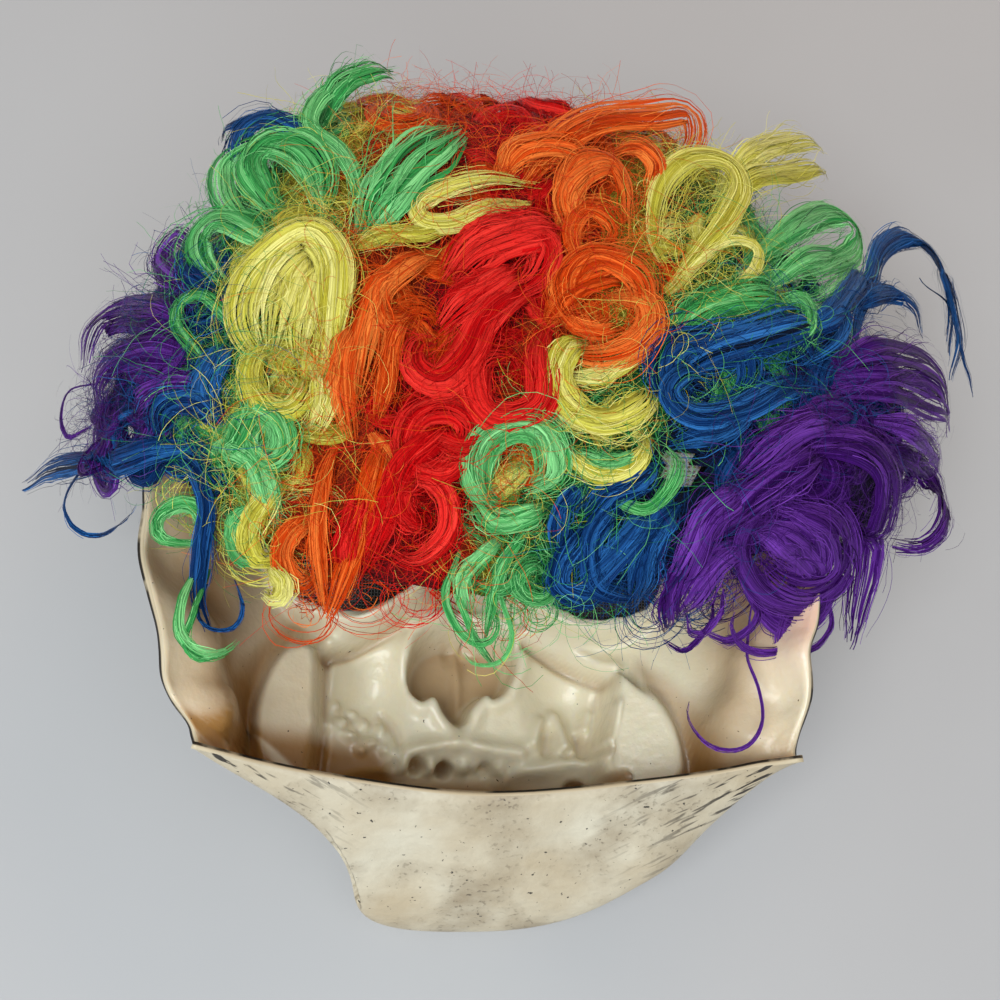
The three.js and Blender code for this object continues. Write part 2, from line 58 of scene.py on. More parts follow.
camera = bpy.data.objects.new("camera", bpy.data.cameras.new("camera"))
camera.data.lens = CAMERA_LENS
forward = Vector(to_part(CAMERA_TARGET) - to_part(CAMERA_PLACE)).normalized()
right = forward.cross(Vector((0, 1, 0))).normalized()
turn = Matrix((right, right.cross(forward), -forward)).transposed().to_4x4()
camera.matrix_world = Matrix.Translation(to_part(CAMERA_PLACE)) @ turn
bpy.context.collection.objects.link(camera)
bpy.context.scene.camera = camera
bpy.context.scene.view_settings.view_transform = "Standard"

# Mask shell: the face, side walls and turned-under chin of the mask, one thin sheet of soft vinyl cast
# in a mould. It is bare and cream inside, painted bone white with a dark wash outside, and cut by hand
# along its rim and round the eye holes.
SHELL_WALL = 2.0
FLATTENED = 3.0  # level of the flat that the forehead rests on
RIM_SKEW = 5.0  # how far both rims lean to the right
SHELL_COLUMNS = 180
SHELL_CROWDING = 0.4  # how much closer the columns lie near the midline
SHELL_FINENESS = 5  # for each of the rows that the sections name
SMOOTHINGS = 3  # of the normals along which the outside is set back
CHIN_FRONT = 11  # the section after which the sheet turns under the chin
EYE_HOLE = (41, 3, 22, 15)  # x, y, rx, ry
SOCKET = (41, 3, 32, 23)  # x, y, rx, ry
SOCKET_FLOOR = 42
# Sections of the outer skin from the hairline to the neck: mid y, z, half x, y, z, side x, y, z,
# how far the soft left side is pushed in, how far the left rim bows outwards, and rows.
MASK_SECTIONS = np.array([
    [97, 47, 48, 89, 56, 86, 60, 79, 0, 0, 2],
    [90, 11, 52, 81, 29, 91, 50, 80, 0, 0, 2],
    [72, 1, 55, 64, 18, 95, 41, 81, 0, 1.5, 2],
    [34, 8, 57, 32, 20, 98, 31, 82, 0, 4.5, 2],
    [4, 20, 58, 6, 30, 99, 16, 83.5, 0, 8, 3],
    [-14, 25, 58, -10, 34, 98, 4, 84.5, 0, 7.7, 3],
    [-28, 27, 57, -24, 36, 97, -8, 85, 0, 7.6, 3],
    [-42, 27, 56, -38, 37, 95, -20, 85, 0, 7.2, 3],
    [-55, 25, 54, -50, 37, 93, -29, 84.5, 0, 6.8, 3],
    [-68, 20, 51, -62, 36, 91.5, -36, 84, 0, 6.4, 2],
    [-82, 10, 48, -74, 33, 90, -43, 82.5, 6, 5.4, 2],
    [-97, 0, 44, -90, 20, 88.5, -50, 79, 16, 4, 2],
    [-108, 9, 45, -99, 27, 87.5, -57, 76, 20, 1.5, 2],
    [-97, 35, 45, -89, 45, 87, -61, 77.5, 12, 0, 2],
    [-72, 70, 46, -68, 73, 87, -62, 81.5, 0, 0, 0],
])
# Broad forms: x, y, rx, ry, push towards the wearer, share that slopes, both sides or one.
BROAD_FORMS = [
    (30, 73, 32, 26, -10, 0.7, True),
    (34, 30, 30, 9, -4, 0.7, True),
    (0, -4, 10, 24, -5, 0.7, False),
    (33, -36, 18, 21, -10, 0.95, True),
    (21, -100, 14, 12, -4, 0.6, True),
    (0, -65, 40, 9, -5, 0.6, False),
]
# Outline of the nose's hollow, and of the smooth sunken cheek on each side.
NOSE_OUTLINE = [
    (-4, -9), (-12, -12), (-17, -17), (-20, -26), (-19, -34), (-15, -37.5), (-11, -36), (-8, -41),
    (-5, -44.5), (-2.4, -45.5), (0, -43.5), (1.5, -39.5), (4.5, -36), (6.5, -35), (9, -36),
    (13, -33), (16, -25), (14.5, -16), (9, -11), (3, -9),
]
LEFT_CHEEK = [
    (-50, -25), (-55, -23), (-60, -27), (-63.5, -32.5), (-66, -39), (-67.5, -45), (-67.5, -52),
    (-66.5, -60), (-61, -67), (-52, -68), (-50, -58), (-49, -47), (-49, -36),
]
RIGHT_CHEEK = [
    (46, -31), (49, -29), (54.5, -33.5), (59, -38), (62.5, -43), (65, -49), (66.5, -56), (66, -62),
    (60, -67), (48, -69), (42, -64), (41, -55), (43.5, -48), (44.5, -40),
]
# Small forms of the cheeks, gum and teeth: x, y, rx, ry, push, share that slopes.
SMALL_FORMS = [
    (-16, -58, 3.4, 3.8, -8, 0.7), (-7, -59, 3.6, 4, -9, 0.7), (6, -58.5, 3, 3.4, -4, 0.8),
    (-21, -58, 2.6, 4, 2, 0.8), (-11.5, -58.5, 2.2, 4.5, 2.6, 0.8), (-1, -58, 3.4, 4.5, 2.4, 0.8),
    (11, -58.5, 3, 4, 2, 0.8), (-14, -52.5, 4, 3, 1, 0.9), (-4, -51, 4, 3, 1, 0.9), (5, -52, 4, 3, 1, 0.9),
    (32.5, -54, 3, 2.6, -5, 0.8), (43, -54, 3, 3, -5, 0.8), (35, -64.5, 4.5, 3.2, -8, 0.7),
    (46, -63, 5, 3.6, -9, 0.7), (-38, -33, 11, 9, 2, 0.9), (-30, -64, 14, 5, -3, 0.9),
    (-40, -45, 3.2, 2.8, 3.6, 0.9), (-38, -49.5, 3.8, 2.6, 3.8, 0.9), (-33, -45, 3, 3.6, 3.6, 0.9),
    (-31, -51, 3.4, 2.8, 3.6, 0.9), (-36, -41.5, 2.8, 2.2, 2.8, 0.9), (-28, -47, 2.4, 3.6, 3, 0.9),
    (-42, -40, 2.6, 3, 2.4, 0.9), (-27, -53, 2.6, 2.4, 2.6, 0.9), (-35, -54, 3, 2.2, 2.6, 0.9),
]
# Ridges and creases of the brows, gum and teeth: push, width and the places that each runs through.
CREASES = [
    (5.6, 3.0, [(-46, -21), (-34, -15.5), (-24, -8), (-17, -2)]),
    (-6.0, 1.7, [(-48, -26), (-40, -23), (-31, -18), (-22, -12)]),
    (5.0, 3.0, [(20, -14), (33, -19), (43, -25.5), (48, -26)]),
    (-5.6, 1.8, [(19, -18.5), (29, -23), (37, -26.5), (45, -31)]),
    (-3.4, 1.4, [(-46.5, -27), (-46.3, -40), (-47, -52), (-48, -62)]),
    (-2.6, 1.4, [(42.5, -34), (41.5, -44), (39, -55)]),
    (-2.6, 1.4, [(-27, -42), (-24, -46), (-22, -51), (-22, -55), (-24, -58)]),
    (2.2, 2.0, [(-49, -48), (-46, -46), (-41, -48), (-34, -53)]),
    (4.8, 2.8, [(-22, -55), (-15, -52.5), (-7, -51), (0, -51), (8, -52.5), (17, -53.5)]),
    (4.0, 2.0, [(24, -43), (21.5, -50)]),
    (5.0, 2.2, [(28.5, -41), (31.5, -51)]),
    (3.0, 2.0, [(39, -40), (37.5, -46)]),
    (4.6, 2.2, [(45, -40), (42.5, -51)]),
    (-3.4, 1.8, [(26.5, -47), (26, -53)]),
    (-4.2, 2.0, [(36.5, -48), (37, -54)]),
    (5.0, 3.0, [(13, -62), (19, -59.5), (27, -57.5), (35, -56.5), (41, -57)]),
]
# Soft dents and swells of the thin side walls: x, y, z, radius, push.
SIDE_DENTS = [
    (76, -47, 66, 11, 5.5), (84, -28, 70, 10, 5.5), (88, -44, 76, 8, -5), (70, -33, 58, 8, -4),
    (92, -10, 76, 10, 5), (95, 8, 78, 9, -4.5), (96, -30, 82, 7, 3.5), (80, -56, 74, 6, 4),
    (-93, -7, 76, 9, -5.5), (-86, -30, 70, 11, 5.5), (-78, -47, 68, 9, 5), (-88, 8, 72, 9, 5),
    (-94, 22, 78, 9, 4.5), (-90, -44, 78, 7, -3.5), (-80, -14, 62, 8, -4),
    (-60, -92, 52, 12, -2.7), (56, -92, 50, 13, -2.7), (-20, -92, 44, 12, 2.4), (24, -88, 48, 11, 2.0),
]
CHEEK_MIDDLE = 50
CHEEK_LEVEL = 47
CHEEK_SLOPE = 0.3
CHEEK_GROOVE = 9
CHEEK_OUTER = (53, 59)  # where the outer part of each cheek begins
NOSE_DEPTH = 17
# How much amber painted shade the bare vinyl gets in each hollow, on its left side and off the face.
NOSE_PAINTED_SHADE = 0.68
GUM_PAINTED_SHADE = 0.95
WALL_PAINTED_SHADE = 0.6
GROOVE_PAINTED_SHADE = 0.5
LEFT_PAINTED_SHADE = 0.26
PIT_PAINTED_SHADE = 0.08
CHIN_PAINTED_SHADE = 0.2
CHIN_CORNERS = ((-78, -62), (80, -62))
CORNER_REACH = 40  # how far the dark wrinkles run from the corners
# Painted pink glow of light through the thin wall near the right rim.
PAINTED_GLOW = (100, -16, 12, 20)  # x, y, rx, ry
NECK_FROM = 0.97  # along the sheet, where the neck edge begins


def smooth_step(x, low, high):
    """0 below low, 1 above high, and a smooth rise between them."""
    t = np.clip((x - low) / (high - low), 0, 1)
    return t * t * (3 - 2 * t)


def unit(vectors):
    """The same directions with a length of 1."""
    return vectors / np.maximum(np.linalg.norm(vectors, axis=-1, keepdims=True), 1e-9)


def through_three(start, middle, end, start_slope, w):
    """A smooth curve through three values at w = 0, 0.5 and 1."""
    bend = (end - start) / 2
    inner = w < 0.5
    t = np.where(inner, 2 * w, 2 * w - 1)
    first = np.where(inner, start, middle)
    last = np.where(inner, middle, end)
    slope = np.where(inner, start_slope, bend)
    end_slope = np.where(inner, bend, end - middle)
    blend = t * t * (3 - 2 * t)
    return first + (last - first) * blend + t * (1 - t) * ((1 - t) * slope - t * end_slope)


def spline(values, t):
    """A smooth curve through the rows of values, one column for each t, which counts in rows."""
    before = 2 * values[:1] - values[1:2]
    after = 2 * values[-1:] - values[-2:-1]
    values = np.concatenate([before, values, after])
    span = np.clip(np.floor(t).astype(int), 0, len(values) - 4)
    f = t - span
    a, b, c, d = (values[span + step, np.arange(t.size)] for step in range(4))
    return b + 0.5 * f * (c - a + f * (2 * a - 5 * b + 4 * c - d + f * (3 * (b - c) + d - a)))


def curve_through(places, t):
    """Points of a smooth curve through places, one for each t, which counts in places."""
    axes = np.array(places, float).T
    return np.stack([spline(np.repeat(axis[:, None], t.size, axis=1), t) for axis in axes], axis=-1)


def sheet_point(sections, across, along):
    """Points of the sheet through the sections: across from -1 on the left rim to 1, along from 0 to 1."""
    w = np.abs(across)
    mid_y, mid_z, half_x, half_y, half_z, side_x, side_y, side_z, dent, bow = sections.T[:10, :, None]
    flat = np.zeros_like(mid_y)
    x = np.sign(across) * through_three(flat, half_x, side_x, half_x, w) + RIM_SKEW * w * w
    x = x + np.where(across < 0, dent * np.sin(np.pi * w * w) ** 2 - bow * w * w, 0)
    y = through_three(mid_y, half_y, side_y, flat, w)
    z = through_three(mid_z, half_z, side_z, flat, w)
    rows = along * (len(sections) - 1)
    return np.stack([spline(axis, rows) for axis in (x, y, z)], axis=-1)


def sheet_normal(sections, across, along):
    """The sheet's normals, on the side that faces up."""
    step = 0.004
    sideways = sheet_point(sections, across + step, along) - sheet_point(sections, across - step, along)
    onwards = sheet_point(sections, across, along + step) - sheet_point(sections, across, along - step)
    return unit(np.cross(onwards, sideways))


def ellipse_weight(x, y, rx, ry, edge):
    """1 inside an ellipse round the origin, falling to 0 at its border over the share called edge."""
    return 1 - smooth_step(np.hypot(x / rx, y / ry), 1 - edge, 1)


def distance_from(x, y, start, end):
    """How far each point lies from a straight line between two places."""
    dx, dy = end[0] - start[0], end[1] - start[1]
    t = np.clip(((x - start[0]) * dx + (y - start[1]) * dy) / (dx * dx + dy * dy), 0, 1)
    return np.hypot(x - start[0] - t * dx, y - start[1] - t * dy)


def depth_inside(x, y, outline):
    """How far inside a smooth closed outline each point lies, negative outside it."""
    turns = np.linspace(2, len(outline) + 2, 5 * len(outline) + 1)
    curve = curve_through(outline[-2:] + outline + outline[:3], turns)
    nearest = np.full(x.shape, np.inf)
    inside = np.zeros(x.shape, bool)
    for start, end in zip(curve[:-1], curve[1:]):
        nearest = np.minimum(nearest, distance_from(x, y, start, end))
        crossing = start[0] + (end[0] - start[0]) * (y - start[1]) / (end[1] - start[1] + 1e-9)
        inside ^= ((start[1] > y) != (end[1] > y)) & (x < crossing)
    return np.where(inside, nearest, -nearest)


def creases(x, y):
    """How far the ridges push the wall up, less the creases."""
    push = np.zeros_like(x)
    for amount, width, places in CREASES:
        lines = [distance_from(x, y, start, end) for start, end in zip(places, places[1:])]
        push += amount * np.exp(-((np.min(lines, axis=0) / width) ** 2))
    return push


def small_forms(x, y):
    """How far the small forms push the wall up."""
    push = np.zeros_like(x)
    for fx, fy, rx, ry, amount, edge in SMALL_FORMS:
        push += amount * ellipse_weight(x - fx, y - fy, rx, ry, edge)
    return push


def face_relief(x, y):
    """How far the face's features push the wall towards the wearer."""
    push = small_forms(x, y)
    for fx, fy, rx, ry, amount, edge, pair in BROAD_FORMS:
        push += amount * ellipse_weight((np.abs(x) if pair else x) - fx, y - fy, rx, ry, edge)
    nose = depth_inside(x, y, NOSE_OUTLINE)
    floor = NOSE_DEPTH + 0.12 * (y + 30) - 2.5 * np.exp(-(((x + 2) / 2.2) ** 2))
    push += 2.4 * np.exp(-(((nose + 2.2) / 2.4) ** 2))
    return push - floor * smooth_step(nose, -0.6, 2.6)


def side_dents(points):
    """How far the dents and swells of the side walls push the wall."""
    push = np.zeros(len(points))
    for dent_x, dent_y, dent_z, radius, amount in SIDE_DENTS:
        distance = np.linalg.norm(points - (dent_x, dent_y, dent_z), axis=1)
        push += amount * np.exp(-((distance / radius) ** 2))
    return push


def outer_skin(lining, rows):
    """The outside of the wall: the lining set back by the wall along smoothed normals."""
    grid = lining.reshape(rows, SHELL_COLUMNS + 1, 3)
    facing = unit(np.cross(np.gradient(grid, axis=0), np.gradient(grid, axis=1)))
    for _ in range(SMOOTHINGS):
        padded = np.pad(facing, ((1, 1), (1, 1), (0, 0)), mode="edge")
        facing = unit(facing + padded[2:, 1:-1] + padded[:-2, 1:-1] + padded[1:-1, 2:] + padded[1:-1, :-2])
    skin = lining - facing.reshape(-1, 3) * SHELL_WALL
    skin[:, 2] = np.maximum(skin[:, 2], FLATTENED)
    return skin


def eye_hole_edge(x, y):
    """Which points lie in an eye hole, and the way out from each to the hole's ragged, hand-cut edge."""
    hole_x, hole_y, *radii = EYE_HOLE
    side = np.sign(x)
    middle = np.stack([side * hole_x, np.full(x.shape, hole_y)], axis=-1)
    from_middle = (np.stack([x, y], axis=-1) - middle) / radii
    reach = np.linalg.norm(from_middle, axis=1)
    bearing = np.arctan2(from_middle[:, 1], from_middle[:, 0])
    ragged = 1 + 0.02 * np.sin(7 * bearing + side) + 0.015 * np.sin(17 * bearing + 2 * side)
    edge = middle + from_middle * (ragged / np.maximum(reach, 0.01))[:, None] * radii
    return reach < ragged, edge


def painted_shade_share(points, across, on_face, in_cheek, outer):
    """How much amber painted shade the bare vinyl gets: in the nose, the gum, the grooves and the low side
    walls.
    """
    x, y, z = points.T
    nose_hollow = smooth_step(depth_inside(x, y, NOSE_OUTLINE), 0, 4)
    side_walls = WALL_PAINTED_SHADE * smooth_step(np.abs(across), 0.6, 0.8) * (1 - smooth_step(z, 58, 86))
    groove = outer * smooth_step(-in_cheek, 0, 4) * smooth_step(in_cheek, -12, -5)
    gum_from = 59 - 11 * smooth_step(-x, 20, 32)
    low_face = smooth_step(-y - gum_from, 0, 9) * (1 - 0.3 * smooth_step(x, 0, 25))
    left_face = LEFT_PAINTED_SHADE * smooth_step(-x, 40, 54)
    pits = on_face * np.maximum(-small_forms(x, y) - creases(x, y), 0)
    amber = on_face * np.maximum(nose_hollow * NOSE_PAINTED_SHADE, low_face * GUM_PAINTED_SHADE)
    amber += (1 - on_face) * CHIN_PAINTED_SHADE + side_walls + GROOVE_PAINTED_SHADE * groove + left_face + PIT_PAINTED_SHADE * pits
    paler = side_walls + 0.3 * low_face + 0.5 * (x > 0) * low_face
    return amber - 0.8 * smooth_step(in_cheek, 0, 4) * paler


def add_piece(name, points, faces, materials, which=None):
    """A smooth mesh in the part's frame, from points in the tables' millimetres."""
    mesh = bpy.data.meshes.new(name)
    mesh.from_pydata(to_part(points).tolist(), [], faces.tolist())
    for material in materials:
        mesh.materials.append(material)
    if which is not None:
        mesh.polygons.foreach_set("material_index", which)
    mesh.shade_smooth()
    piece = bpy.data.objects.new(name, mesh)
    bpy.context.collection.objects.link(piece)
    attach(piece, "root")
    return piece


def set_attribute(piece, name, values):
    """A number for each point of a piece, which its material can read."""
    made = piece.data.attributes.new(name, "FLOAT", "POINT")
    made.data.foreach_set("value", np.asarray(values, np.float32))


def grid_quads(rows, columns):
    """The quads of a grid of points that is stored row by row."""
    a = (np.arange(rows)[:, None] * (columns + 1) + np.arange(columns)).ravel()
    return np.stack([a, a + 1, a + columns + 2, a + columns + 1], axis=-1)


def walls_between(quads, layer):
    """Quads that join the border of one layer of quads to the same border in the next layer."""
    start = quads.ravel()
    end = np.roll(quads, -1, axis=1).ravel()
    open_edge = ~np.isin(start * layer + end, end * layer + start)
    start, end = start[open_edge], end[open_edge]
    return np.stack([end, start, start + layer, end + layer], axis=-1)


def new_material(name, **sockets):
    """A material whose shader has these values, with its node tree and shader."""
    material = bpy.data.materials.new(name)
    material.use_nodes = True
    shader = material.node_tree.nodes["Principled BSDF"]
    for socket, value in sockets.items():
        shader.inputs[socket.replace("_", " ")].default_value = value
    return material, material.node_tree, shader


def add_node(tree, kind, inputs, **settings):
    """A node with these settings, each input a value or another node's output."""
    made = tree.nodes.new(kind)
    for setting, value in settings.items():
        setattr(made, setting, value)
    for socket, value in inputs.items():
        if isinstance(value, bpy.types.NodeSocket):
            tree.links.new(value, made.inputs[socket])
        else:
            made.inputs[socket].default_value = value
    return made


def place_on(tree):
    """Where each point lies in its piece, in metres."""
    return add_node(tree, "ShaderNodeTexCoord", {}).outputs["Object"]


def colour_with(tree, shader, colour):
    """The shader takes its colour from a node's output."""
    tree.links.new(colour, shader.inputs["Base Color"])


def noise(tree, place, scale, detail=3.0):
    """Soft random clouds, scale of them to a metre."""
    inputs = {"Vector": place, "Scale": scale, "Detail": detail}
    return add_node(tree, "ShaderNodeTexNoise", inputs).outputs["Fac"]


def between(tree, value, low, high):
    """0 where the value is below low, 1 where it is above high."""
    inputs = {"Value": value, "From Min": low, "From Max": high}
    return add_node(tree, "ShaderNodeMapRange", inputs).outputs["Result"]


def blend(tree, amount, first, second, how="MIX"):
    """A mix of two colours."""
    inputs = {0: amount, 6: first, 7: second}
    made = add_node(tree, "ShaderNodeMix", inputs, data_type="RGBA", blend_type=how)
    return made.outputs[2]


def product(tree, first, second):
    """Two numbers multiplied."""
    return add_node(tree, "ShaderNodeMath", {0: first, 1: second}, operation="MULTIPLY").outputs[0]


def attribute(tree, name):
    """A number that the piece holds for each of its points."""
    return add_node(tree, "ShaderNodeAttribute", {}, attribute_name=name).outputs["Fac"]


def raise_surface(tree, shader, height, strength, distance):
    """A fine relief of the surface."""
    inputs = {"Height": height, "Strength": strength, "Distance": distance}
    tree.links.new(add_node(tree, "ShaderNodeBump", inputs).outputs["Normal"], shader.inputs["Normal"])


def paint(red, green, blue):
    """A colour given as on a screen, from 0 to 255."""
    levels = np.array([red, green, blue]) / 255
    linear = np.where(levels <= 0.04045, levels / 12.92, ((levels + 0.055) / 1.055) ** 2.4)
    return (*linear.tolist(), 1.0)


def inside_vinyl():
    """Bare cream vinyl: glossy, slightly see-through, with amber painted shade in its hollows, a painted
    pink glow of light near the right rim, and a few specks of dirt.
    """
    material, tree, shader = new_material("bare_vinyl", Roughness=0.27, Subsurface_Weight=0.3)
    shader.inputs["Subsurface Radius"].default_value = (1.0, 0.65, 0.35)
    shader.inputs["Subsurface Scale"].default_value = 0.005
    place = place_on(tree)
    cream = blend(tree, noise(tree, place, 45), paint(240, 232, 208), paint(222, 208, 174))
    # Amber painted shade, strongest in the hollows, the low walls and the shaded left side.
    amber = blend(tree, attribute(tree, "painted_hollow_shade"), cream, paint(160, 118, 64))
    # Painted pink glow of light through the thin wall near the right rim.
    painted_glow = blend(tree, attribute(tree, "painted_glow"), amber, paint(226, 150, 132))
    specks = between(tree, noise(tree, place, 700, 1.0), 0.77, 0.8)
    colour = blend(tree, specks, painted_glow, paint(70, 58, 40))
    colour_with(tree, shader, colour)
    raise_surface(tree, shader, noise(tree, place, 150, 4.0), 0.22, 0.003)
    return material


def painted_vinyl():
    """The painted outside: bone white with grey clouds, scratches, black flecks and dark wrinkles."""
    material, tree, shader = new_material("bone_paint", Roughness=0.5)
    place = place_on(tree)
    aged = between(tree, noise(tree, place, 30, 5.0), 0.35, 0.65)
    bone = blend(tree, aged, paint(205, 197, 175), paint(182, 166, 137))
    clouds = between(tree, noise(tree, place, 48, 8.0), 0.46, 0.74)
    stained = blend(tree, clouds, bone, paint(150, 134, 108))
    both_sides = add_node(tree, "ShaderNodeVectorMath", {0: place}, operation="ABSOLUTE").outputs["Vector"]
    slanted = {"Vector": both_sides, "Rotation": (0, 0, -0.45), "Scale": (0.014, 0.0011, 0.008)}
    drawn_out = add_node(tree, "ShaderNodeMapping", slanted, vector_type="TEXTURE").outputs["Vector"]
    lines = between(tree, noise(tree, drawn_out, 1.0, 5.0), 0.56, 0.62)
    creased = blend(tree, product(tree, lines, attribute(tree, "wrinkle")), stained, paint(44, 37, 28))
    specks = product(tree, between(tree, noise(tree, place, 600, 6.0), 0.58, 0.68), clouds)
    specked = blend(tree, specks, creased, paint(84, 72, 54))
    flecks = between(tree, noise(tree, place, 520, 7.0), 0.685, 0.705)
    colour = blend(tree, flecks, specked, paint(36, 31, 24))
    colour_with(tree, shader, colour)
    raise_surface(tree, shader, noise(tree, place, 300, 5.0), 0.3, 0.002)
    return material


def cut_edge():
    """The pale cut edge of the sheet, with a thin uneven line of black ink along one side."""
    material, tree, shader = new_material("cut_edge", Roughness=0.5)
    place = place_on(tree)
    pale = blend(tree, noise(tree, place, 60), paint(214, 200, 170), paint(172, 154, 120))
    patches = between(tree, noise(tree, place, 90, 4.0), 0.36, 0.5)
    ink = product(tree, between(tree, attribute(tree, "ink"), 0.5, 0.66), patches)
    colour = blend(tree, ink, pale, paint(34, 28, 20))
    colour_with(tree, shader, colour)
    return material


spans = len(MASK_SECTIONS) - 1
steps = (MASK_SECTIONS[:, 10] * SHELL_FINENESS).astype(int)
alongs = np.concatenate([np.arange(count) / count + row for row, count in enumerate(steps) if count])
alongs = np.append(alongs, spans) / spans
evenly = np.linspace(-1, 1, SHELL_COLUMNS + 1)
across, along = np.meshgrid(evenly * (1 - SHELL_CROWDING + SHELL_CROWDING * evenly**2), alongs)
across, along = across.ravel(), along.ravel()
base = sheet_point(MASK_SECTIONS, across, along)
normal = sheet_normal(MASK_SECTIONS, across, along)
x, y, z = base.T
before_chin = 1 - smooth_step(along * spans, CHIN_FRONT, CHIN_FRONT + 1)
on_face = before_chin * smooth_step(normal[:, 2], 0.3, 0.6)
relief = face_relief(x, y) * on_face + side_dents(base)
lining = base + normal * (relief + SHELL_WALL)[:, None]
# Each sunken cheek is a smooth shelf, with a deep groove between its outer edge and the side wall.
in_cheek = np.maximum(depth_inside(x, y, LEFT_CHEEK), depth_inside(x, y, RIGHT_CHEEK))
outer = smooth_step(np.abs(x), *CHEEK_OUTER)
shelf = CHEEK_LEVEL + CHEEK_SLOPE * (np.abs(x) - CHEEK_MIDDLE)
shelf -= CHEEK_GROOVE * smooth_step(-in_cheek, -1.5, 4) * outer
held = smooth_step(in_cheek, -1.5, 2.5) * (1 - outer) + smooth_step(in_cheek, -9, -3) * outer
lining[:, 2] += (shelf - lining[:, 2]) * before_chin * held
# Each eye hole is cut through a flat socket.
socket = on_face * ellipse_weight(np.abs(x) - SOCKET[0], y - SOCKET[1], *SOCKET[2:], 0.25)
floor_point = np.stack([x, y, np.full(x.shape, SOCKET_FLOOR + SHELL_WALL)], axis=-1)
lining += (floor_point - lining) * socket[:, None]
lining[:, 2] = np.maximum(lining[:, 2] + on_face * creases(x, y), FLATTENED + SHELL_WALL)
skin = outer_skin(lining, len(alongs))
in_hole, hole_edge = eye_hole_edge(x, y)
quads = grid_quads(len(alongs) - 1, SHELL_COLUMNS)
quads = quads[~np.all(in_hole[quads], axis=1)]
for surface in (skin, lining):
    surface[in_hole, :2] = hole_edge[in_hole]
layer = len(skin)
shell_faces = [quads, quads[:, ::-1] + layer, walls_between(quads, layer)]
which = np.repeat([1, 0, 2], [len(faces) for faces in shell_faces])
used, shell_quads = np.unique(np.concatenate(shell_faces), return_inverse=True)
shell_points = np.concatenate([skin, lining])[used]
shell_materials = [inside_vinyl(), painted_vinyl(), cut_edge()]
shell_quads = shell_quads.reshape(-1, 4)
mask_shell = add_piece("mask_shell_vinyl", shell_points, shell_quads, shell_materials, which)
corner_distance = np.min([np.hypot(x - corner[0], y - corner[1]) for corner in CHIN_CORNERS], axis=0)
glow_x, glow_y, glow_rx, glow_ry = PAINTED_GLOW
shell_tones = {
    # Amber painted shade of the bare vinyl.
    "painted_hollow_shade": painted_shade_share(base, across, on_face, in_cheek, outer),
    "wrinkle": 1.25 - corner_distance / CORNER_REACH,
    # Painted pink glow of light near the right rim.
    "painted_glow": 0.5 * np.exp(-(((x - glow_x) / glow_rx) ** 2) - ((y - glow_y) / glow_ry) ** 2),
}
for name, values in shell_tones.items():
    set_attribute(mask_shell, name, np.clip(np.tile(values, 2), 0, 1)[used])
# The ink runs along the outside of the rim, and along the inside of the neck edge.
set_attribute(mask_shell, "ink", np.concatenate([along < NECK_FROM, along >= NECK_FROM])[used])
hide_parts("mask_shell")

# Eye meshes: black plastic mesh glued behind each eye hole so that the wearer can see out. It is woven
# from flat threads, cut to an oval and held flush in the wall.
MESH_PITCH = 1.0
MESH_THREAD = 0.62
MESH_LEVEL = 43.0
MESH_WEAVE = 0.16  # how far each set of threads lies off the middle level
MESH_THICKNESS = 0.3
MESH_PLAY = 0.4  # between the mesh and the edge of its hole


def box_threads(starts, ends, broad, thick):
    """A closed straight thread from each start to its end, with a breadth direction and a thickness."""
    tangent = unit(ends - starts)
    breadth = unit(np.cross((0, 0, 1), tangent)) * broad / 2
    height = np.array([0, 0, thick / 2])
    corners = [breadth + height, height - breadth, -breadth - height, breadth - height]
    points = np.stack([end + corner for end in (starts, ends) for corner in corners], axis=1)
    sides = [[0, 1, 5, 4], [1, 2, 6, 5], [2, 3, 7, 6], [3, 0, 4, 7], [3, 2, 1, 0], [4, 5, 6, 7]]
    quads = (np.arange(len(starts))[:, None, None] * 8 + np.array(sides)).reshape(-1, 4)
    return points.reshape(-1, 3), quads


def mesh_black():
    """Matte black plastic with a little dust."""
    material, tree, shader = new_material("mesh_black", Roughness=0.55)
    dust = between(tree, noise(tree, place_on(tree), 220), 0.4, 0.75)
    colour_with(tree, shader, blend(tree, dust, paint(14, 12, 10), paint(34, 30, 25)))
    return material


def mesh_threads(half_x, half_y, level):
    """Both ends of each thread that runs in the y direction across an oval."""
    places = np.arange(-half_x + MESH_PITCH / 2, half_x, MESH_PITCH)
    reach = half_y * np.sqrt(1 - (places / half_x) ** 2)
    starts = np.stack([places, -reach, np.full(places.shape, level)], axis=-1)
    return starts, starts * (1, -1, 1)


hole_x, hole_y, hole_rx, hole_ry = EYE_HOLE
mesh_rx, mesh_ry = hole_rx - MESH_PLAY, hole_ry - MESH_PLAY
upright = mesh_threads(mesh_rx, mesh_ry, MESH_WEAVE)
crossing = [ends[:, [1, 0, 2]] for ends in mesh_threads(mesh_ry, mesh_rx, -MESH_WEAVE)]
starts, stops = (np.concatenate(ends) for ends in zip(upright, crossing))
mesh_points, mesh_quads = box_threads(starts, stops, MESH_THREAD, MESH_THICKNESS)
mesh_material = mesh_black()
for side, eye in ((-1, "left"), (1, "right")):
    points = mesh_points + (side * hole_x, hole_y, MESH_LEVEL)
    eye_mesh = add_piece(f"eye_mesh_{eye}_threads", points, mesh_quads, [mesh_material])
    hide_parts(f"eye_mesh_{eye}")

# Wig net: the foundation of the wig, an open knitted net with a stitched hem, glued along the rim of
# the mask. It closes the top and back of the head, and all the hair is sewn to it.
NET_WALL = 1.4
NET_THREADS_ALONG = 130
NET_THREADS_ACROSS = 150
NET_THREAD = 0.75
NET_SEGMENTS = 32
HEM_BREADTH = 2.4
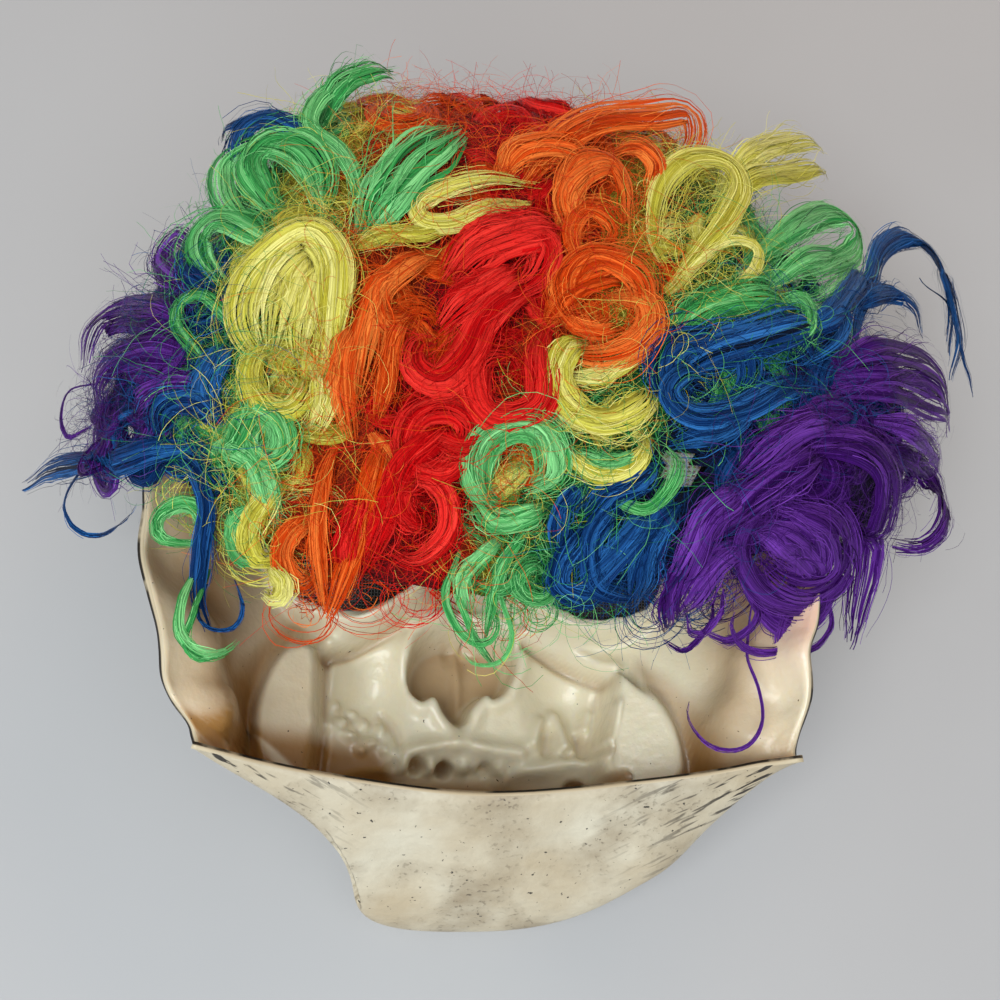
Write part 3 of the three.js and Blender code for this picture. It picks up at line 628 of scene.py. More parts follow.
# Sections of the net's inside from the hairline to the nape: as above, with the depth of the hair over
# it on the midline, the left rim and the right rim in place of the rows.
NET_SECTIONS = np.array([
    [98, 50, 48.5, 90, 58.5, 86, 60, 81.5, 0, 0, 8, 8, 10],
    [124, 58, 52, 112, 67, 90, 55, 82.5, 0, 0.3, 22, 18, 30],
    [138, 78, 55, 122, 84, 93, 49, 83.5, 0, 0.8, 32, 24, 46],
    [124, 98, 57, 108, 98, 96, 43, 84.5, 0, 1.6, 14, 24, 50],
    [80, 105, 59, 72, 103, 98, 37, 85.5, 0, 2.5, 8, 24, 46],
    [30, 102, 59, 28, 101, 99.5, 30, 86, 0, 4, 8, 18, 36],
    [-10, 91, 57, 0, 92, 100.5, 24, 86.5, 0, 5, 11, 12, 22],
])


def over_net(across, along, height):
    """Points at a height above the net's inside."""
    return sheet_point(NET_SECTIONS, across, along) + sheet_normal(NET_SECTIONS, across, along) * height


def flat_strips(paths, sides, breadths):
    """Flat strips along many paths of equal length."""
    count, steps = paths.shape[:2]
    half = sides * breadths[..., None] / 2
    points = np.stack([paths - half, paths + half], axis=2).reshape(-1, 3)
    index = np.arange(count * steps * 2).reshape(count, steps, 2)
    quads = np.stack([index[:, :-1, 0], index[:, :-1, 1], index[:, 1:, 1], index[:, 1:, 0]], axis=-1)
    return points, quads.reshape(-1, 4)


def net_cotton():
    """Matte grey thread, worn and a little fluffy."""
    material, tree, shader = new_material("net_cotton", Roughness=0.85)
    place = place_on(tree)
    wear = noise(tree, place, 180)
    colour_with(tree, shader, blend(tree, wear, paint(206, 204, 200), paint(160, 158, 154)))
    raise_surface(tree, shader, noise(tree, place, 4000, 1.0), 0.4, 0.001)
    return material


def net_threads(count, crosswise):
    """Evenly spaced threads that run along the net or across it, the first and last broad as a hem."""
    lane, step = np.meshgrid(np.linspace(0, 1, count), np.linspace(0, 1, NET_SEGMENTS), indexing="ij")
    run_across, run_along = (step, lane) if crosswise else (lane, step)
    place = (2 * run_across.ravel() - 1, run_along.ravel())
    paths = over_net(*place, NET_WALL / 2).reshape(count, NET_SEGMENTS, 3)
    ups = sheet_normal(NET_SECTIONS, *place).reshape(paths.shape)
    sides = unit(np.cross(ups, np.gradient(paths, axis=1)))
    at_hem = np.isin(np.arange(count), [0, count - 1])[:, None] * np.ones(NET_SEGMENTS)
    return flat_strips(paths, sides, NET_THREAD + (HEM_BREADTH - NET_THREAD) * at_hem)


long_points, long_quads = net_threads(NET_THREADS_ALONG, False)
cross_points, cross_quads = net_threads(NET_THREADS_ACROSS, True)
net_points = np.concatenate([long_points, cross_points])
net_quads = np.concatenate([long_quads, cross_quads + len(long_points)])
wig_net = add_piece("wig_net", net_points, net_quads, [net_cotton()])
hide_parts("wig_cap")

# Hair: stripes of curly synthetic hair in rainbow colours, from purple at the rims to red in the
# middle. Each is a thick mat sewn to the net, with glossy flat locks that wind into open curls on top
# of it and a haze of loose fibres.
MAT_GAP = 0.4
RIM_DROOP = 0.5  # how far hair hangs at the rims for each unit that it stands out
WIG_LEAN = 0.4  # how far the hair leans to the right over the crown
NAPE_FALL = (0.8, 1.1)  # along the net, where the hair turns to fall over the nape
NET_ROWS = 12  # rows that places along the net are counted in
HAIR_ROWS = (1, 12)
STRIPE_FALL = (0.65, 0.95)  # along the net, where the right stripes fall over to the left
MAT_COLUMNS = 12
MAT_STEPS = 5  # for each row
MAT_FALL = 0.5  # the share of the stripes' fall that the mats follow
MAT_SHARE = 0.8  # of the hair's depth
MAT_TINT = 0.2
MAT_ROUND = 42  # radius that small locks bend round
CROWN_TRIM = 0.52  # share of the hair's depth that is pressed down over the crown
LOCK_STEP = 3.0
LOCK_LIFT = 3.5
SMALL_LIFT = 2.0
BANDS_PER_MM = 2.3
BAND_OVERLAP = 1.9
HAIR_BREADTH = (0.12, 0.32)
MAIN_HAIRS = 32  # single hairs in a main lock
SMALL_HAIRS = 10
SMALL_LOCKS = (18, 80)  # in each stripe, and more for each unit of its width
WISPS = (1, 30)  # the same for the wisps at the nape
WISP_ROWS = (10.8, 12)
LOOSE_FIBRES = 1350
FIBRE_STEPS = 13
FIBRE_STRAY = 0.04
BARE_PATCH = ((52.5, 15.5), 7.5)  # middle and radius of the patch of net that shows
ROOM = np.array([[-158, -122, 6], [167, 194, 133]])  # the box that the hair stays in
PHOTO_SIZE = 1000
PHOTO_MIDDLE = np.full(2, PHOTO_SIZE / 2)
PHOTO_FOCUS = PHOTO_SIZE * CAMERA_LENS / camera.data.sensor_width
MAT_EDGE = 7  # in pixels, how near a lock's place is to count as on the mat
LOOSE_END = 60  # in pixels past that, where a lock is down at its loose height
PURPLES = ((16, 4, 34), (56, 14, 94), (120, 64, 172))
BLUES = ((3, 10, 28), (12, 44, 98), (50, 116, 186))
GREENS = ((12, 58, 32), (54, 162, 78), (152, 232, 150))
YELLOWS = ((132, 112, 24), (214, 208, 68), (250, 244, 150))
ORANGES = ((128, 28, 4), (226, 68, 12), (255, 142, 62))
REDS = ((92, 2, 6), (208, 9, 15), (252, 62, 52))
# Name, deep, main and bright colour, and right edge at the crown and at the nape. The deep colour also
# serves for painted shade and the bright one for painted highlights.
STRIPES = [
    ("hair_purple_left", PURPLES, -0.86, -0.88),
    ("hair_blue_left", BLUES, -0.72, -0.76),
    ("hair_green_left", GREENS, -0.46, -0.66),
    ("hair_yellow_left", YELLOWS, -0.22, -0.54),
    ("hair_orange_left", ORANGES, -0.04, -0.36),
    ("hair_red", REDS, 0.16, -0.1),
    ("hair_orange_right", ORANGES, 0.36, -0.05),
    ("hair_yellow_right", YELLOWS, 0.54, 0.0),
    ("hair_green_right", GREENS, 0.7, 0.25),
    ("hair_blue_right", BLUES, 0.85, 0.5),
    ("hair_purple_right", PURPLES, 1.0, 1.0),
]
# Main locks by stripe: the height of their loose ends beyond the mat, then for each its half breadth and
# the places in the photograph, in pixels across and down, that it winds through from its root.
LOCKS = [
    ("hair_purple_left", 70, [
        (7.5, (205, 325), (170, 318), (130, 325), (98, 345), (82, 372)),
        (5.5, (205, 360), (160, 350), (120, 362), (100, 390), (95, 420)),
        (0.45, (98, 372), (76, 400), (70, 425), (78, 441), (92, 432), (96, 410)),
        (3.8, (200, 290), (178, 282), (165, 262), (178, 243), (195, 250)),
        (3.5, (215, 395), (180, 385), (150, 392), (128, 410)),
    ]),
    ("hair_blue_left", 55, [
        (3.8, (330, 165), (305, 140), (275, 124), (245, 135), (240, 160), (265, 170)),
        (1.4, (300, 140), (262, 122), (232, 132), (214, 136)),
        (4.5, (225, 430), (205, 402), (178, 398), (158, 415), (152, 440)),
        (3.8, (215, 445), (165, 455), (110, 460), (60, 472), (20, 487)),
        (0.4, (150, 450), (95, 470), (72, 505), (80, 532), (102, 541), (124, 528), (138, 500)),
        (4, (230, 330), (215, 360), (205, 390), (215, 420)),
        (3.1, (205, 230), (190, 250), (192, 275), (212, 290)),
    ]),
    ("hair_blue_left", 88, [
        (2.4, (150, 455), (188, 470), (206, 505), (206, 550), (202, 600), (208, 632)),
        (0.35, (203, 585), (199, 610), (214, 628), (238, 626), (246, 604), (232, 578)),
    ]),
    ("hair_green_left", 92, [
        (2.3, (365, 228), (362, 185), (338, 152), (313, 130), (318, 104), (346, 85), (376, 72),
         (402, 62)),
        (4.5, (318, 112), (345, 88), (375, 76), (400, 70)),
        (9, (358, 236), (382, 206), (412, 172), (444, 142), (466, 124)),
        (3.8, (310, 240), (322, 200), (300, 158), (258, 148), (226, 172), (228, 208), (258, 226),
         (290, 212)),
        (4.7, (300, 240), (262, 236), (226, 222), (205, 236), (200, 262), (222, 280)),
        (1.4, (234, 390), (238, 345), (224, 310), (200, 297), (180, 306), (180, 328), (202, 358),
         (222, 388)),
        (3.8, (236, 385), (248, 410), (236, 440), (226, 455), (245, 464)),
        (2.5, (275, 410), (254, 425), (252, 450), (270, 466), (292, 456)),
        (3, (205, 470), (212, 450), (236, 446), (256, 470), (266, 505), (272, 532)),
        (2, (195, 545), (168, 540), (165, 518), (185, 505), (202, 520), (196, 542)),
        (1.1, (196, 560), (186, 600), (184, 630), (200, 650), (224, 652), (238, 640)),
        (0.7, (206, 570), (198, 612), (188, 640), (204, 658), (230, 650)),
        (1.5, (262, 505), (235, 515), (228, 540), (246, 562), (270, 560)),
        (5.3, (300, 210), (268, 200), (252, 170), (272, 146), (310, 150), (332, 180), (318, 206)),
        (4.2, (232, 380), (250, 410), (276, 418), (286, 446), (266, 464), (240, 452)),
    ]),
    ("hair_yellow_left", 92, [
        (5.7, (322, 395), (335, 325), (336, 262), (315, 236), (282, 250), (252, 282), (244, 322),
         (262, 350), (290, 338)),
        (3.3, (300, 345), (266, 350), (250, 380), (264, 408), (294, 406), (310, 382), (296, 362)),
        (2.6, (345, 246), (385, 234), (425, 234), (462, 226)),
        (3.1, (552, 190), (500, 206), (455, 222), (428, 226), (424, 208), (452, 190), (500, 182),
         (545, 178)),
        (1.5, (345, 330), (340, 375), (326, 412), (316, 435)),
        (2, (322, 365), (322, 400), (310, 425)),
        (3, (300, 470), (262, 500), (246, 535), (262, 562), (284, 552)),
        (2.5, (262, 560), (284, 580), (280, 600), (262, 592)),
        (3.5, (330, 250), (310, 290), (300, 330), (305, 360)),
        (7, (326, 240), (298, 268), (277, 308), (268, 348)),
    ]),
    ("hair_orange_left", 90, [
        (3.5, (452, 234), (408, 266), (384, 292), (370, 335), (358, 402)),
        (1.7, (405, 275), (382, 290), (380, 312), (402, 318), (414, 300)),
        (2, (345, 420), (330, 470), (318, 530), (322, 580), (326, 620)),
        (2.8, (392, 420), (372, 490), (352, 555), (336, 600), (322, 626)),
        (2.8, (332, 520), (300, 530), (284, 560), (300, 585), (326, 572)),
        (3.3, (372, 310), (352, 350), (346, 395), (352, 440)),
        (2.5, (420, 300), (396, 340), (388, 380), (376, 420)),
        (3.8, (420, 290), (392, 280), (378, 300), (384, 326), (410, 334)),
    ]),
    ("hair_red", 92, [
        (7.7, (575, 222), (530, 238), (486, 252), (450, 282)),
        (5.1, (562, 270), (515, 300), (486, 325), (470, 360), (440, 380), (414, 368), (420, 342),
         (448, 335)),
        (4.9, (560, 300), (545, 350), (540, 400), (508, 422), (476, 402), (480, 366), (512, 352),
         (530, 376)),
        (3.8, (470, 400), (440, 430), (408, 470), (384, 525), (362, 585)),
        (2.8, (392, 505), (402, 486), (428, 480), (450, 498), (454, 526), (438, 552), (412, 566),
         (394, 556)),
        (3.3, (440, 520), (416, 530), (402, 512), (412, 494), (436, 492)),
        (3.8, (470, 440), (452, 470), (430, 470), (400, 450)),
        (5.1, (530, 260), (500, 285), (470, 300), (440, 330)),
        (3.3, (520, 420), (490, 440), (455, 445), (425, 435)),
        (5.3, (470, 290), (462, 262), (486, 240), (520, 236), (548, 252), (540, 280), (508, 292)),
        (4.2, (420, 470), (404, 442), (420, 416), (452, 410), (474, 430), (462, 462)),
        (3.5, (380, 470), (362, 510), (352, 548), (344, 586)),
    ]),
    ("hair_orange_right", 80, [
        (5.9, (520, 190), (550, 150), (600, 128), (650, 118), (684, 118), (694, 138), (682, 158)),
        (2.3, (566, 240), (566, 195), (582, 164), (608, 162), (628, 190), (634, 235)),
        (2.6, (612, 262), (584, 262), (574, 236), (592, 216), (614, 230), (608, 252)),
        (4.5, (600, 285), (640, 298), (652, 330), (632, 354), (596, 358), (566, 342)),
        (3.6, (545, 330), (572, 298), (606, 282), (640, 282)),
        (5.1, (500, 180), (520, 155), (560, 148), (600, 160)),
        (3.5, (650, 200), (658, 170), (640, 150), (615, 150)),
        (3.1, (565, 300), (575, 325), (600, 335), (625, 325)),
        (5.3, (600, 330), (574, 312), (570, 282), (596, 262), (630, 270), (646, 300), (632, 330)),
        (4.2, (640, 180), (612, 168), (580, 176), (568, 206), (580, 236)),
    ]),
    ("hair_yellow_right", 74, [
        (3.8, (640, 292), (668, 284), (694, 262), (722, 230), (738, 192), (724, 166), (690, 164),
         (664, 190), (656, 232), (676, 268)),
        (1.3, (664, 300), (700, 256), (730, 241), (756, 252), (752, 272), (722, 290), (682, 302)),
        (4.4, (720, 215), (750, 185), (790, 178), (828, 170)),
        (4.5, (725, 190), (752, 160), (790, 150), (828, 150)),
        (4.5, (556, 385), (572, 412), (610, 424), (644, 408), (654, 378)),
        (2.5, (645, 420), (648, 446), (622, 470), (586, 466), (560, 442)),
        (2.5, (650, 345), (620, 372), (590, 380), (566, 372)),
        (4.2, (600, 330), (570, 350), (560, 385), (580, 412), (616, 414)),
    ]),
    ("hair_green_right", 84, [
        (5.5, (655, 345), (700, 312), (750, 300), (798, 300)),
        (2.3, (775, 302), (802, 304), (810, 326), (794, 346)),
        (5, (740, 270), (776, 242), (816, 222), (844, 236), (840, 262), (812, 272), (785, 262)),
        (4, (760, 290), (800, 266), (835, 262), (846, 282), (826, 298), (796, 296)),
        (3.3, (478, 478), (484, 442), (515, 426), (550, 440), (556, 472), (530, 494)),
        (1.4, (600, 476), (622, 506), (648, 511), (672, 492), (680, 462), (668, 440)),
        (2.5, (650, 440), (630, 455), (600, 460), (572, 450)),
        (2, (560, 575), (550, 600), (528, 602), (520, 580), (536, 566), (554, 578)),
        (1.8, (520, 530), (490, 555), (466, 585), (470, 620)),
        (1.5, (545, 520), (516, 548), (494, 590), (486, 640)),
        (3.3, (560, 500), (530, 520), (500, 520), (480, 500)),
        (0.8, (472, 540), (455, 572), (448, 606), (463, 636), (486, 642), (496, 620), (484, 600)),
        (0.45, (506, 555), (500, 596), (510, 634), (500, 660), (474, 664), (462, 650)),
        (1.5, (540, 548), (522, 580), (498, 596), (470, 588)),
        (0.7, (480, 560), (462, 590), (466, 622), (480, 650), (500, 672)),
        (4.9, (520, 508), (492, 500), (478, 470), (488, 440), (516, 428), (544, 440), (552, 470),
         (536, 494)),
    ]),
    ("hair_blue_right", 72, [
        (3.8, (866, 330), (862, 285), (872, 256), (896, 244), (920, 258), (936, 290), (946, 326),
         (950, 356)),
        (2.8, (878, 252), (902, 246), (924, 262), (938, 292), (946, 326), (951, 356), (953, 384)),
        (0.6, (928, 272), (940, 310), (950, 345), (955, 370), (966, 388), (980, 398)),
        (1.4, (800, 352), (820, 318), (838, 310), (846, 325), (834, 346), (808, 362)),
        (6.7, (668, 375), (715, 352), (775, 338), (830, 318)),
        (4.2, (830, 365), (782, 388), (738, 412), (694, 416), (668, 394), (690, 374), (730, 376)),
        (4.5, (850, 300), (880, 300), (905, 315), (925, 335)),
        (3, (668, 452), (640, 478), (612, 496), (588, 522)),
        (4, (660, 500), (630, 540), (600, 575), (575, 605)),
        (3, (600, 520), (572, 550), (560, 585), (590, 600), (615, 580)),
        (3, (760, 400), (730, 425), (700, 436), (672, 440)),
        (4.9, (700, 400), (672, 392), (660, 372), (676, 348), (712, 340), (744, 352), (752, 380),
         (730, 402)),
        (3.5, (640, 500), (610, 520), (590, 550), (600, 590), (640, 600)),
        (3.8, (690, 500), (660, 530), (640, 570), (632, 606)),
        (2.8, (600, 480), (572, 500), (556, 530), (560, 560)),
        (4.2, (780, 330), (822, 318), (848, 296), (860, 272)),
    ]),
    ("hair_purple_right", 76, [
        (9, (825, 368), (866, 360), (908, 374), (936, 400), (950, 420)),
        (7, (835, 384), (876, 384), (914, 398), (938, 416), (950, 436)),
        (6, (752, 524), (784, 540), (810, 562), (798, 590)),
        (5.7, (778, 466), (808, 444), (852, 446), (878, 468), (882, 500), (872, 540), (862, 585),
         (854, 626), (848, 650)),
        (2.5, (890, 440), (922, 480), (934, 522), (920, 548), (896, 548)),
        (6.1, (762, 500), (796, 512), (826, 532), (826, 560), (806, 578), (778, 578), (756, 560)),
        (3.3, (752, 590), (764, 616), (786, 624), (806, 614), (820, 590), (826, 560)),
        (0.3, (760, 600), (747, 636), (742, 657), (752, 684), (757, 716), (746, 741), (722, 748),
         (699, 739), (687, 716), (692, 700)),
        (0.6, (730, 590), (716, 612), (700, 632), (684, 630), (690, 610)),
        (5.3, (840, 440), (795, 470), (752, 500), (712, 540)),
        (4.2, (760, 540), (720, 560), (690, 590), (672, 620)),
        (4.7, (850, 420), (805, 430), (765, 448), (738, 482)),
        (4.9, (870, 410), (905, 430), (925, 460), (930, 490)),
        (3.1, (700, 560), (680, 580), (664, 605), (668, 632)),
        (1.2, (800, 560), (780, 600), (772, 640), (790, 650)),
        (0.8, (800, 600), (792, 630), (770, 650), (742, 648), (728, 630), (738, 612)),
        (0.6, (720, 600), (700, 630), (680, 650), (664, 640)),
        (0.9, (760, 590), (748, 622), (722, 640), (700, 630)),
        (0.7, (830, 590), (826, 620), (806, 645), (784, 640), (780, 620)),
        (5.3, (760, 470), (740, 500), (712, 520), (690, 560), (668, 600)),
        (3.2, (810, 470), (846, 520), (838, 570), (800, 600), (756, 590), (740, 552), (762, 520),
         (800, 528)),
        (4.2, (880, 440), (918, 470), (932, 510), (918, 545), (890, 540)),
    ]),
]


def hair_top(across, along, share):
    """Points in the mat of hair, at a share of its depth over the net."""
    step = 0.004
    down = unit(over_net(across, along + step, 0) - over_net(across, along - step, 0))
    growth = sheet_normal(NET_SECTIONS, across, along)
    growth[:, 0] += WIG_LEAN * np.maximum(growth[:, 1], 0)
    outwards = np.stack([np.sign(across), 0 * across, 0 * across - RIM_DROOP], axis=-1)
    growth += (outwards - growth) * (across**6)[:, None]
    growth = unit(growth + (down - growth) * smooth_step(along, *NAPE_FALL)[:, None])
    middle, left, right_rim = NET_SECTIONS.T[10:, :, None]
    depths = middle + (np.where(across < 0, left, right_rim) - middle) * across**4
    depth = spline(depths, along * (len(NET_SECTIONS) - 1)) * share
    return over_net(across, along, NET_WALL + MAT_GAP) + growth * depth[:, None]


def crown_trim(along):
    """The share of the hair's depth that is left where it is pressed down over the crown."""
    return 1 - CROWN_TRIM * (1 - smooth_step(along, 0.4, 0.6))


def top_normal(across, along):
    """The normals of the mat's top."""
    step = 0.01
    sideways = hair_top(across + step, along, 1) - hair_top(across - step, along, 1)
    onwards = hair_top(across, along + step, 1) - hair_top(across, along - step, 1)
    return unit(np.cross(onwards, sideways))


def stripe_edges(stripe, along, fall):
    """The left and right edge of a stripe. Hair right of the middle falls further over than its mat."""
    edges = []
    for edge in (stripe - 1, stripe):
        lean = along + fall * smooth_step(edge, 2, 5) * (smooth_step(along, *STRIPE_FALL) - along)
        crown, nape = STRIPES[edge][2:] if edge >= 0 else (-1, -1)
        edges.append(crown + (nape - crown) * lean)
    return edges


def stripe_width(stripe, along):
    """The mean width of a stripe's top over some rows."""
    left_edge, right_edge = stripe_edges(stripe, np.array(along), 1)
    return np.mean(right_edge - left_edge)


def from_patch(points):
    """How far points lie from the middle of the patch of net that shows, seen from above."""
    return np.hypot(*(points[:, :2] - BARE_PATCH[0]).T)


def within_stripe(stripe, count, rows, lowest, chance):
    """Random places in a range of a stripe's rows, away from the patch of net that shows."""
    along = chance.uniform(*rows, 3 * count) / NET_ROWS
    left_edge, right_edge = stripe_edges(stripe, along, 1)
    across = left_edge + (right_edge - left_edge) * chance.uniform(0, 1, 3 * count)
    clear = from_patch(hair_top(across, along, 1)) > 1.8 * BARE_PATCH[1]
    clear &= along < np.where(across < -0.72, 0.86, lowest)
    width = right_edge - left_edge
    clear &= chance.uniform(0, width.max(), 3 * count) < width
    return across[clear][:count], along[clear][:count]


def in_photo(points):
    """Where points show in the photograph, in pixels across and down, and how far off they are."""
    offset = points - CAMERA_PLACE
    depth = offset @ view_axes[2]
    pixels = PHOTO_MIDDLE + PHOTO_FOCUS * (offset @ view_axes[:2].T) / depth[:, None]
    return pixels, depth


def on_hair(pixel, loose_height):
    """The point on top of the hair at a pixel. Past the mat's edge it sinks towards the loose height."""
    distance = np.linalg.norm(top_pixels - pixel, axis=1)
    nearest = distance.min()
    if nearest < MAT_EDGE:
        near = np.flatnonzero(distance < max(MAT_EDGE, nearest + 2))
        return fine_top[near[np.argmin(top_depth[near])]]
    edge_height = fine_top[np.argmin(distance), 2]
    height = edge_height + (loose_height - edge_height) * min((nearest - MAT_EDGE) / LOOSE_END, 1)
    ray = np.append((pixel - PHOTO_MIDDLE) / PHOTO_FOCUS, 1) @ view_axes
    return CAMERA_PLACE + ray * (height - CAMERA_PLACE[2]) / ray[2]


def nearest_on_mat(points):
    """The nearest points of the mat's top, and the mat's normals there."""
    nearest = np.argmin(np.linalg.norm(points[:, None] - sample_top, axis=2), axis=1)
    return sample_top[nearest], sample_normal[nearest]


def even_path(places, lift):
    """A smooth path through places with points LOCK_STEP apart, and the hair's normals along it."""
    fine = curve_through(places, np.linspace(0, len(places) - 1, 30 * len(places)))
    run = np.concatenate([[0], np.cumsum(np.linalg.norm(np.diff(fine, axis=0), axis=1))])
    even = np.linspace(0, run[-1], int(run[-1] / LOCK_STEP) + 4)
    path = np.stack([np.interp(even, run, axis) for axis in fine.T], axis=-1)
    ups = unit(nearest_on_mat(path)[1] + (0, 0, 0.7))
    share = np.linspace(0, 1, len(path))
    height = lift * (smooth_step(share, 0, 0.3) * 2 - 1) * (1 - 1.3 * smooth_step(share, 0.78, 1))
    return path + ups * height[:, None], ups


def curl_places(root, up, ahead, lead, radius, turns):
    """Places along a lock that leads ahead from its root, then winds into a curl that lies on the mat."""
    angle = np.arange(0, 2 * np.pi * abs(turns), 0.7)
    shrinking = radius * (1 - 0.3 * angle / angle[-1])
    forwards = np.concatenate([[0, lead / 2], lead + shrinking * np.sin(angle)])
    sideways = np.concatenate([[0, 0], radius - shrinking * np.cos(angle)]) * np.sign(turns)
    sinking = (forwards**2 + sideways**2) / (2 * MAT_ROUND)
    places = root + forwards[:, None] * ahead + sideways[:, None] * np.cross(up, ahead)
    places = places - sinking[:, None] * up
    top, normals = nearest_on_mat(places)
    above = np.sum((places - top) * normals, axis=1)
    return places - np.maximum(above, 0)[:, None] * normals


def ribbons(paths, sides, breadths, tint):
    """Flat hairs along many paths of equal length, as points, quads, surface places and tints."""
    count, steps = paths.shape[:2]
    points, quads = flat_strips(np.clip(paths, *ROOM), sides, breadths)
    run = np.cumsum(np.linalg.norm(np.diff(paths, axis=1, prepend=paths[:, :1]), axis=2), axis=1)
    lanes = 9.0 * np.arange(count)[:, None, None] + breadths.max(axis=1)[:, None, None] * np.array([0, 1])
    places = np.stack(np.broadcast_arrays(lanes, run[..., None] / 10), axis=-1).reshape(-1, 2)
    return points, quads, places, np.repeat(tint, steps * 2)


def lock(path, ups, half_breadth, tint, bands, hairs, chance):
    """A loose flat lock: broad bands of packed hair, with single hairs that run among them."""
    steps = len(path)
    share = np.linspace(0, 1, steps)
    fullness = (0.35 + 0.65 * smooth_step(share, 0, 0.3)) * (1 - 0.6 * smooth_step(share, 0.65, 1))
    tangent = unit(np.gradient(path, axis=0))
    side = unit(np.cross(ups, tangent))
    up = np.cross(tangent, side)
    count = bands + hairs
    one_each = (count, 1)
    in_band = np.arange(count)[:, None] < bands
    spread = np.concatenate([np.linspace(-0.88, 0.88, bands), chance.uniform(-1.2, 1.2, hairs)])[:, None]
    stray = np.where(in_band, 0.35, np.where(chance.uniform(size=one_each) < 0.2, 2.6, 1.2))
    waves = share * chance.uniform(0.5, 2.2, one_each) + chance.uniform(size=one_each)
    wander = 0.2 * stray * np.sin(2 * np.pi * waves)
    sideways = (spread + wander) * (1 + 0.4 * stray * smooth_step(share, 0.55, 1))
    crown = 0.35 * np.sqrt(np.maximum(1 - spread**2, 0)) + chance.normal(0, 0.05, one_each)
    upwards = crown + np.where(in_band, 0.3, 0.9) * wander
    reach = np.where(in_band, chance.uniform(0.88, 1.0, one_each), chance.uniform(0.6, 1.0, one_each))
    reach = reach * share * (steps - 1)
    before = np.minimum(reach.astype(int), steps - 2)
    part = (reach - before)[..., None]
    middle = path[before] * (1 - part) + path[before + 1] * part
    room = half_breadth * fullness[before]
    paths = middle + (sideways * room)[..., None] * side[before] + (upwards * room)[..., None] * up[before]
    tilt = (np.where(in_band, -0.5 * spread, 0) + chance.normal(0, 0.2, one_each))[..., None]
    flat = unit(np.cos(tilt) * side[before] + np.sin(tilt) * up[before])
    even_breadth = BAND_OVERLAP * 2 * half_breadth / max(bands, 1)
    band_breadth = even_breadth * chance.uniform(0.7, 1.2, one_each) * fullness
    breadth = np.where(in_band, band_breadth, chance.uniform(*HAIR_BREADTH, one_each))
    breadth = breadth * (1 - 0.35 * smooth_step(share, 0.6, 1))
    shades = tint + np.where(in_band, 0.17, 0.24)[:, 0] * chance.normal(size=count)
    return ribbons(paths, flat, breadth, np.clip(shades, 0, 1))


def loose_fibres(across, along, chance):
    """Single fine hairs that stray from the mat in random curves."""
    count = len(across)
    ups = top_normal(across, along)
    ways = unit(np.cross(ups, chance.normal(size=ups.shape)))
    others = np.cross(ups, ways)
    bend = chance.normal(0, 0.32, (count, 1)) + chance.normal(0, 0.13, (count, FIBRE_STEPS))
    heading = np.cumsum(bend, axis=1)
    stride = chance.uniform(1.0, 2.8, (count, 1))
    forwards = np.cumsum(stride * np.cos(heading), axis=1)
    sideways = np.cumsum(stride * np.sin(heading), axis=1)
    arch = np.sin(np.linspace(0, 2.4, FIBRE_STEPS))
    rise = crown_trim(along)[:, None] * chance.uniform(-1, 8, (count, 1)) * arch
    roots = hair_top(across, along, crown_trim(along) * chance.uniform(0.8, 1.05, count))
    paths = roots[:, None] + forwards[..., None] * ways[:, None]
    paths = paths + sideways[..., None] * others[:, None] + rise[..., None] * ups[:, None]
    facing = ups[:, None] + 0.4 * chance.normal(size=(count, 1, 3))
    breadth_way = unit(np.cross(np.gradient(paths, axis=1), facing))
    thin = np.repeat(chance.uniform(0.06, 0.14, (count, 1)), FIBRE_STEPS, axis=1)
    return ribbons(paths, breadth_way, thin, chance.uniform(0.25, 0.7, count))


def hair_fibre(name, deep, main, bright):
    """Glossy synthetic hair: fine streaks along each lock, darkened in the gaps between them as painted
    shade and turned bright along the brightest as painted highlights; its tint sets it from deep to
    bright, as painted shade deep in the mat and painted light on top.
    """
    material, tree, shader = new_material(name, Roughness=0.3, Specular_Tint=paint(*bright))
    place = add_node(tree, "ShaderNodeUVMap", {}).outputs["UV"]
    stretch = {"Vector": place, "Scale": (2.3, 0.22, 1)}
    drawn_out = add_node(tree, "ShaderNodeMapping", stretch).outputs["Vector"]
    inputs = {"Vector": drawn_out, "Scale": 1.0, "Detail": 4.0, "Distortion": 0.6}
    streaks = add_node(tree, "ShaderNodeTexNoise", inputs).outputs["Fac"]
    tint = attribute(tree, "tint")
    lower = blend(tree, between(tree, tint, 0.0, 0.5), paint(*deep), paint(*main))
    upper = blend(tree, between(tree, tint, 0.5, 1.0), lower, paint(*bright))
    # Painted shade: the colour darkened towards deep in the gaps between the streaks.
    painted_gap_shade = blend(tree, 0.55, upper, paint(*deep))
    with_gap_shade = blend(tree, between(tree, streaks, 0.36, 0.5), painted_gap_shade, upper)
    # Painted highlights: the brightest streaks turned to the bright colour.
    painted_gleams = product(tree, between(tree, streaks, 0.53, 0.64), tint)
    colour = blend(tree, painted_gleams, with_gap_shade, paint(*bright))
    colour_with(tree, shader, colour)
    raise_surface(tree, shader, streaks, 0.7, 0.001)
    return material


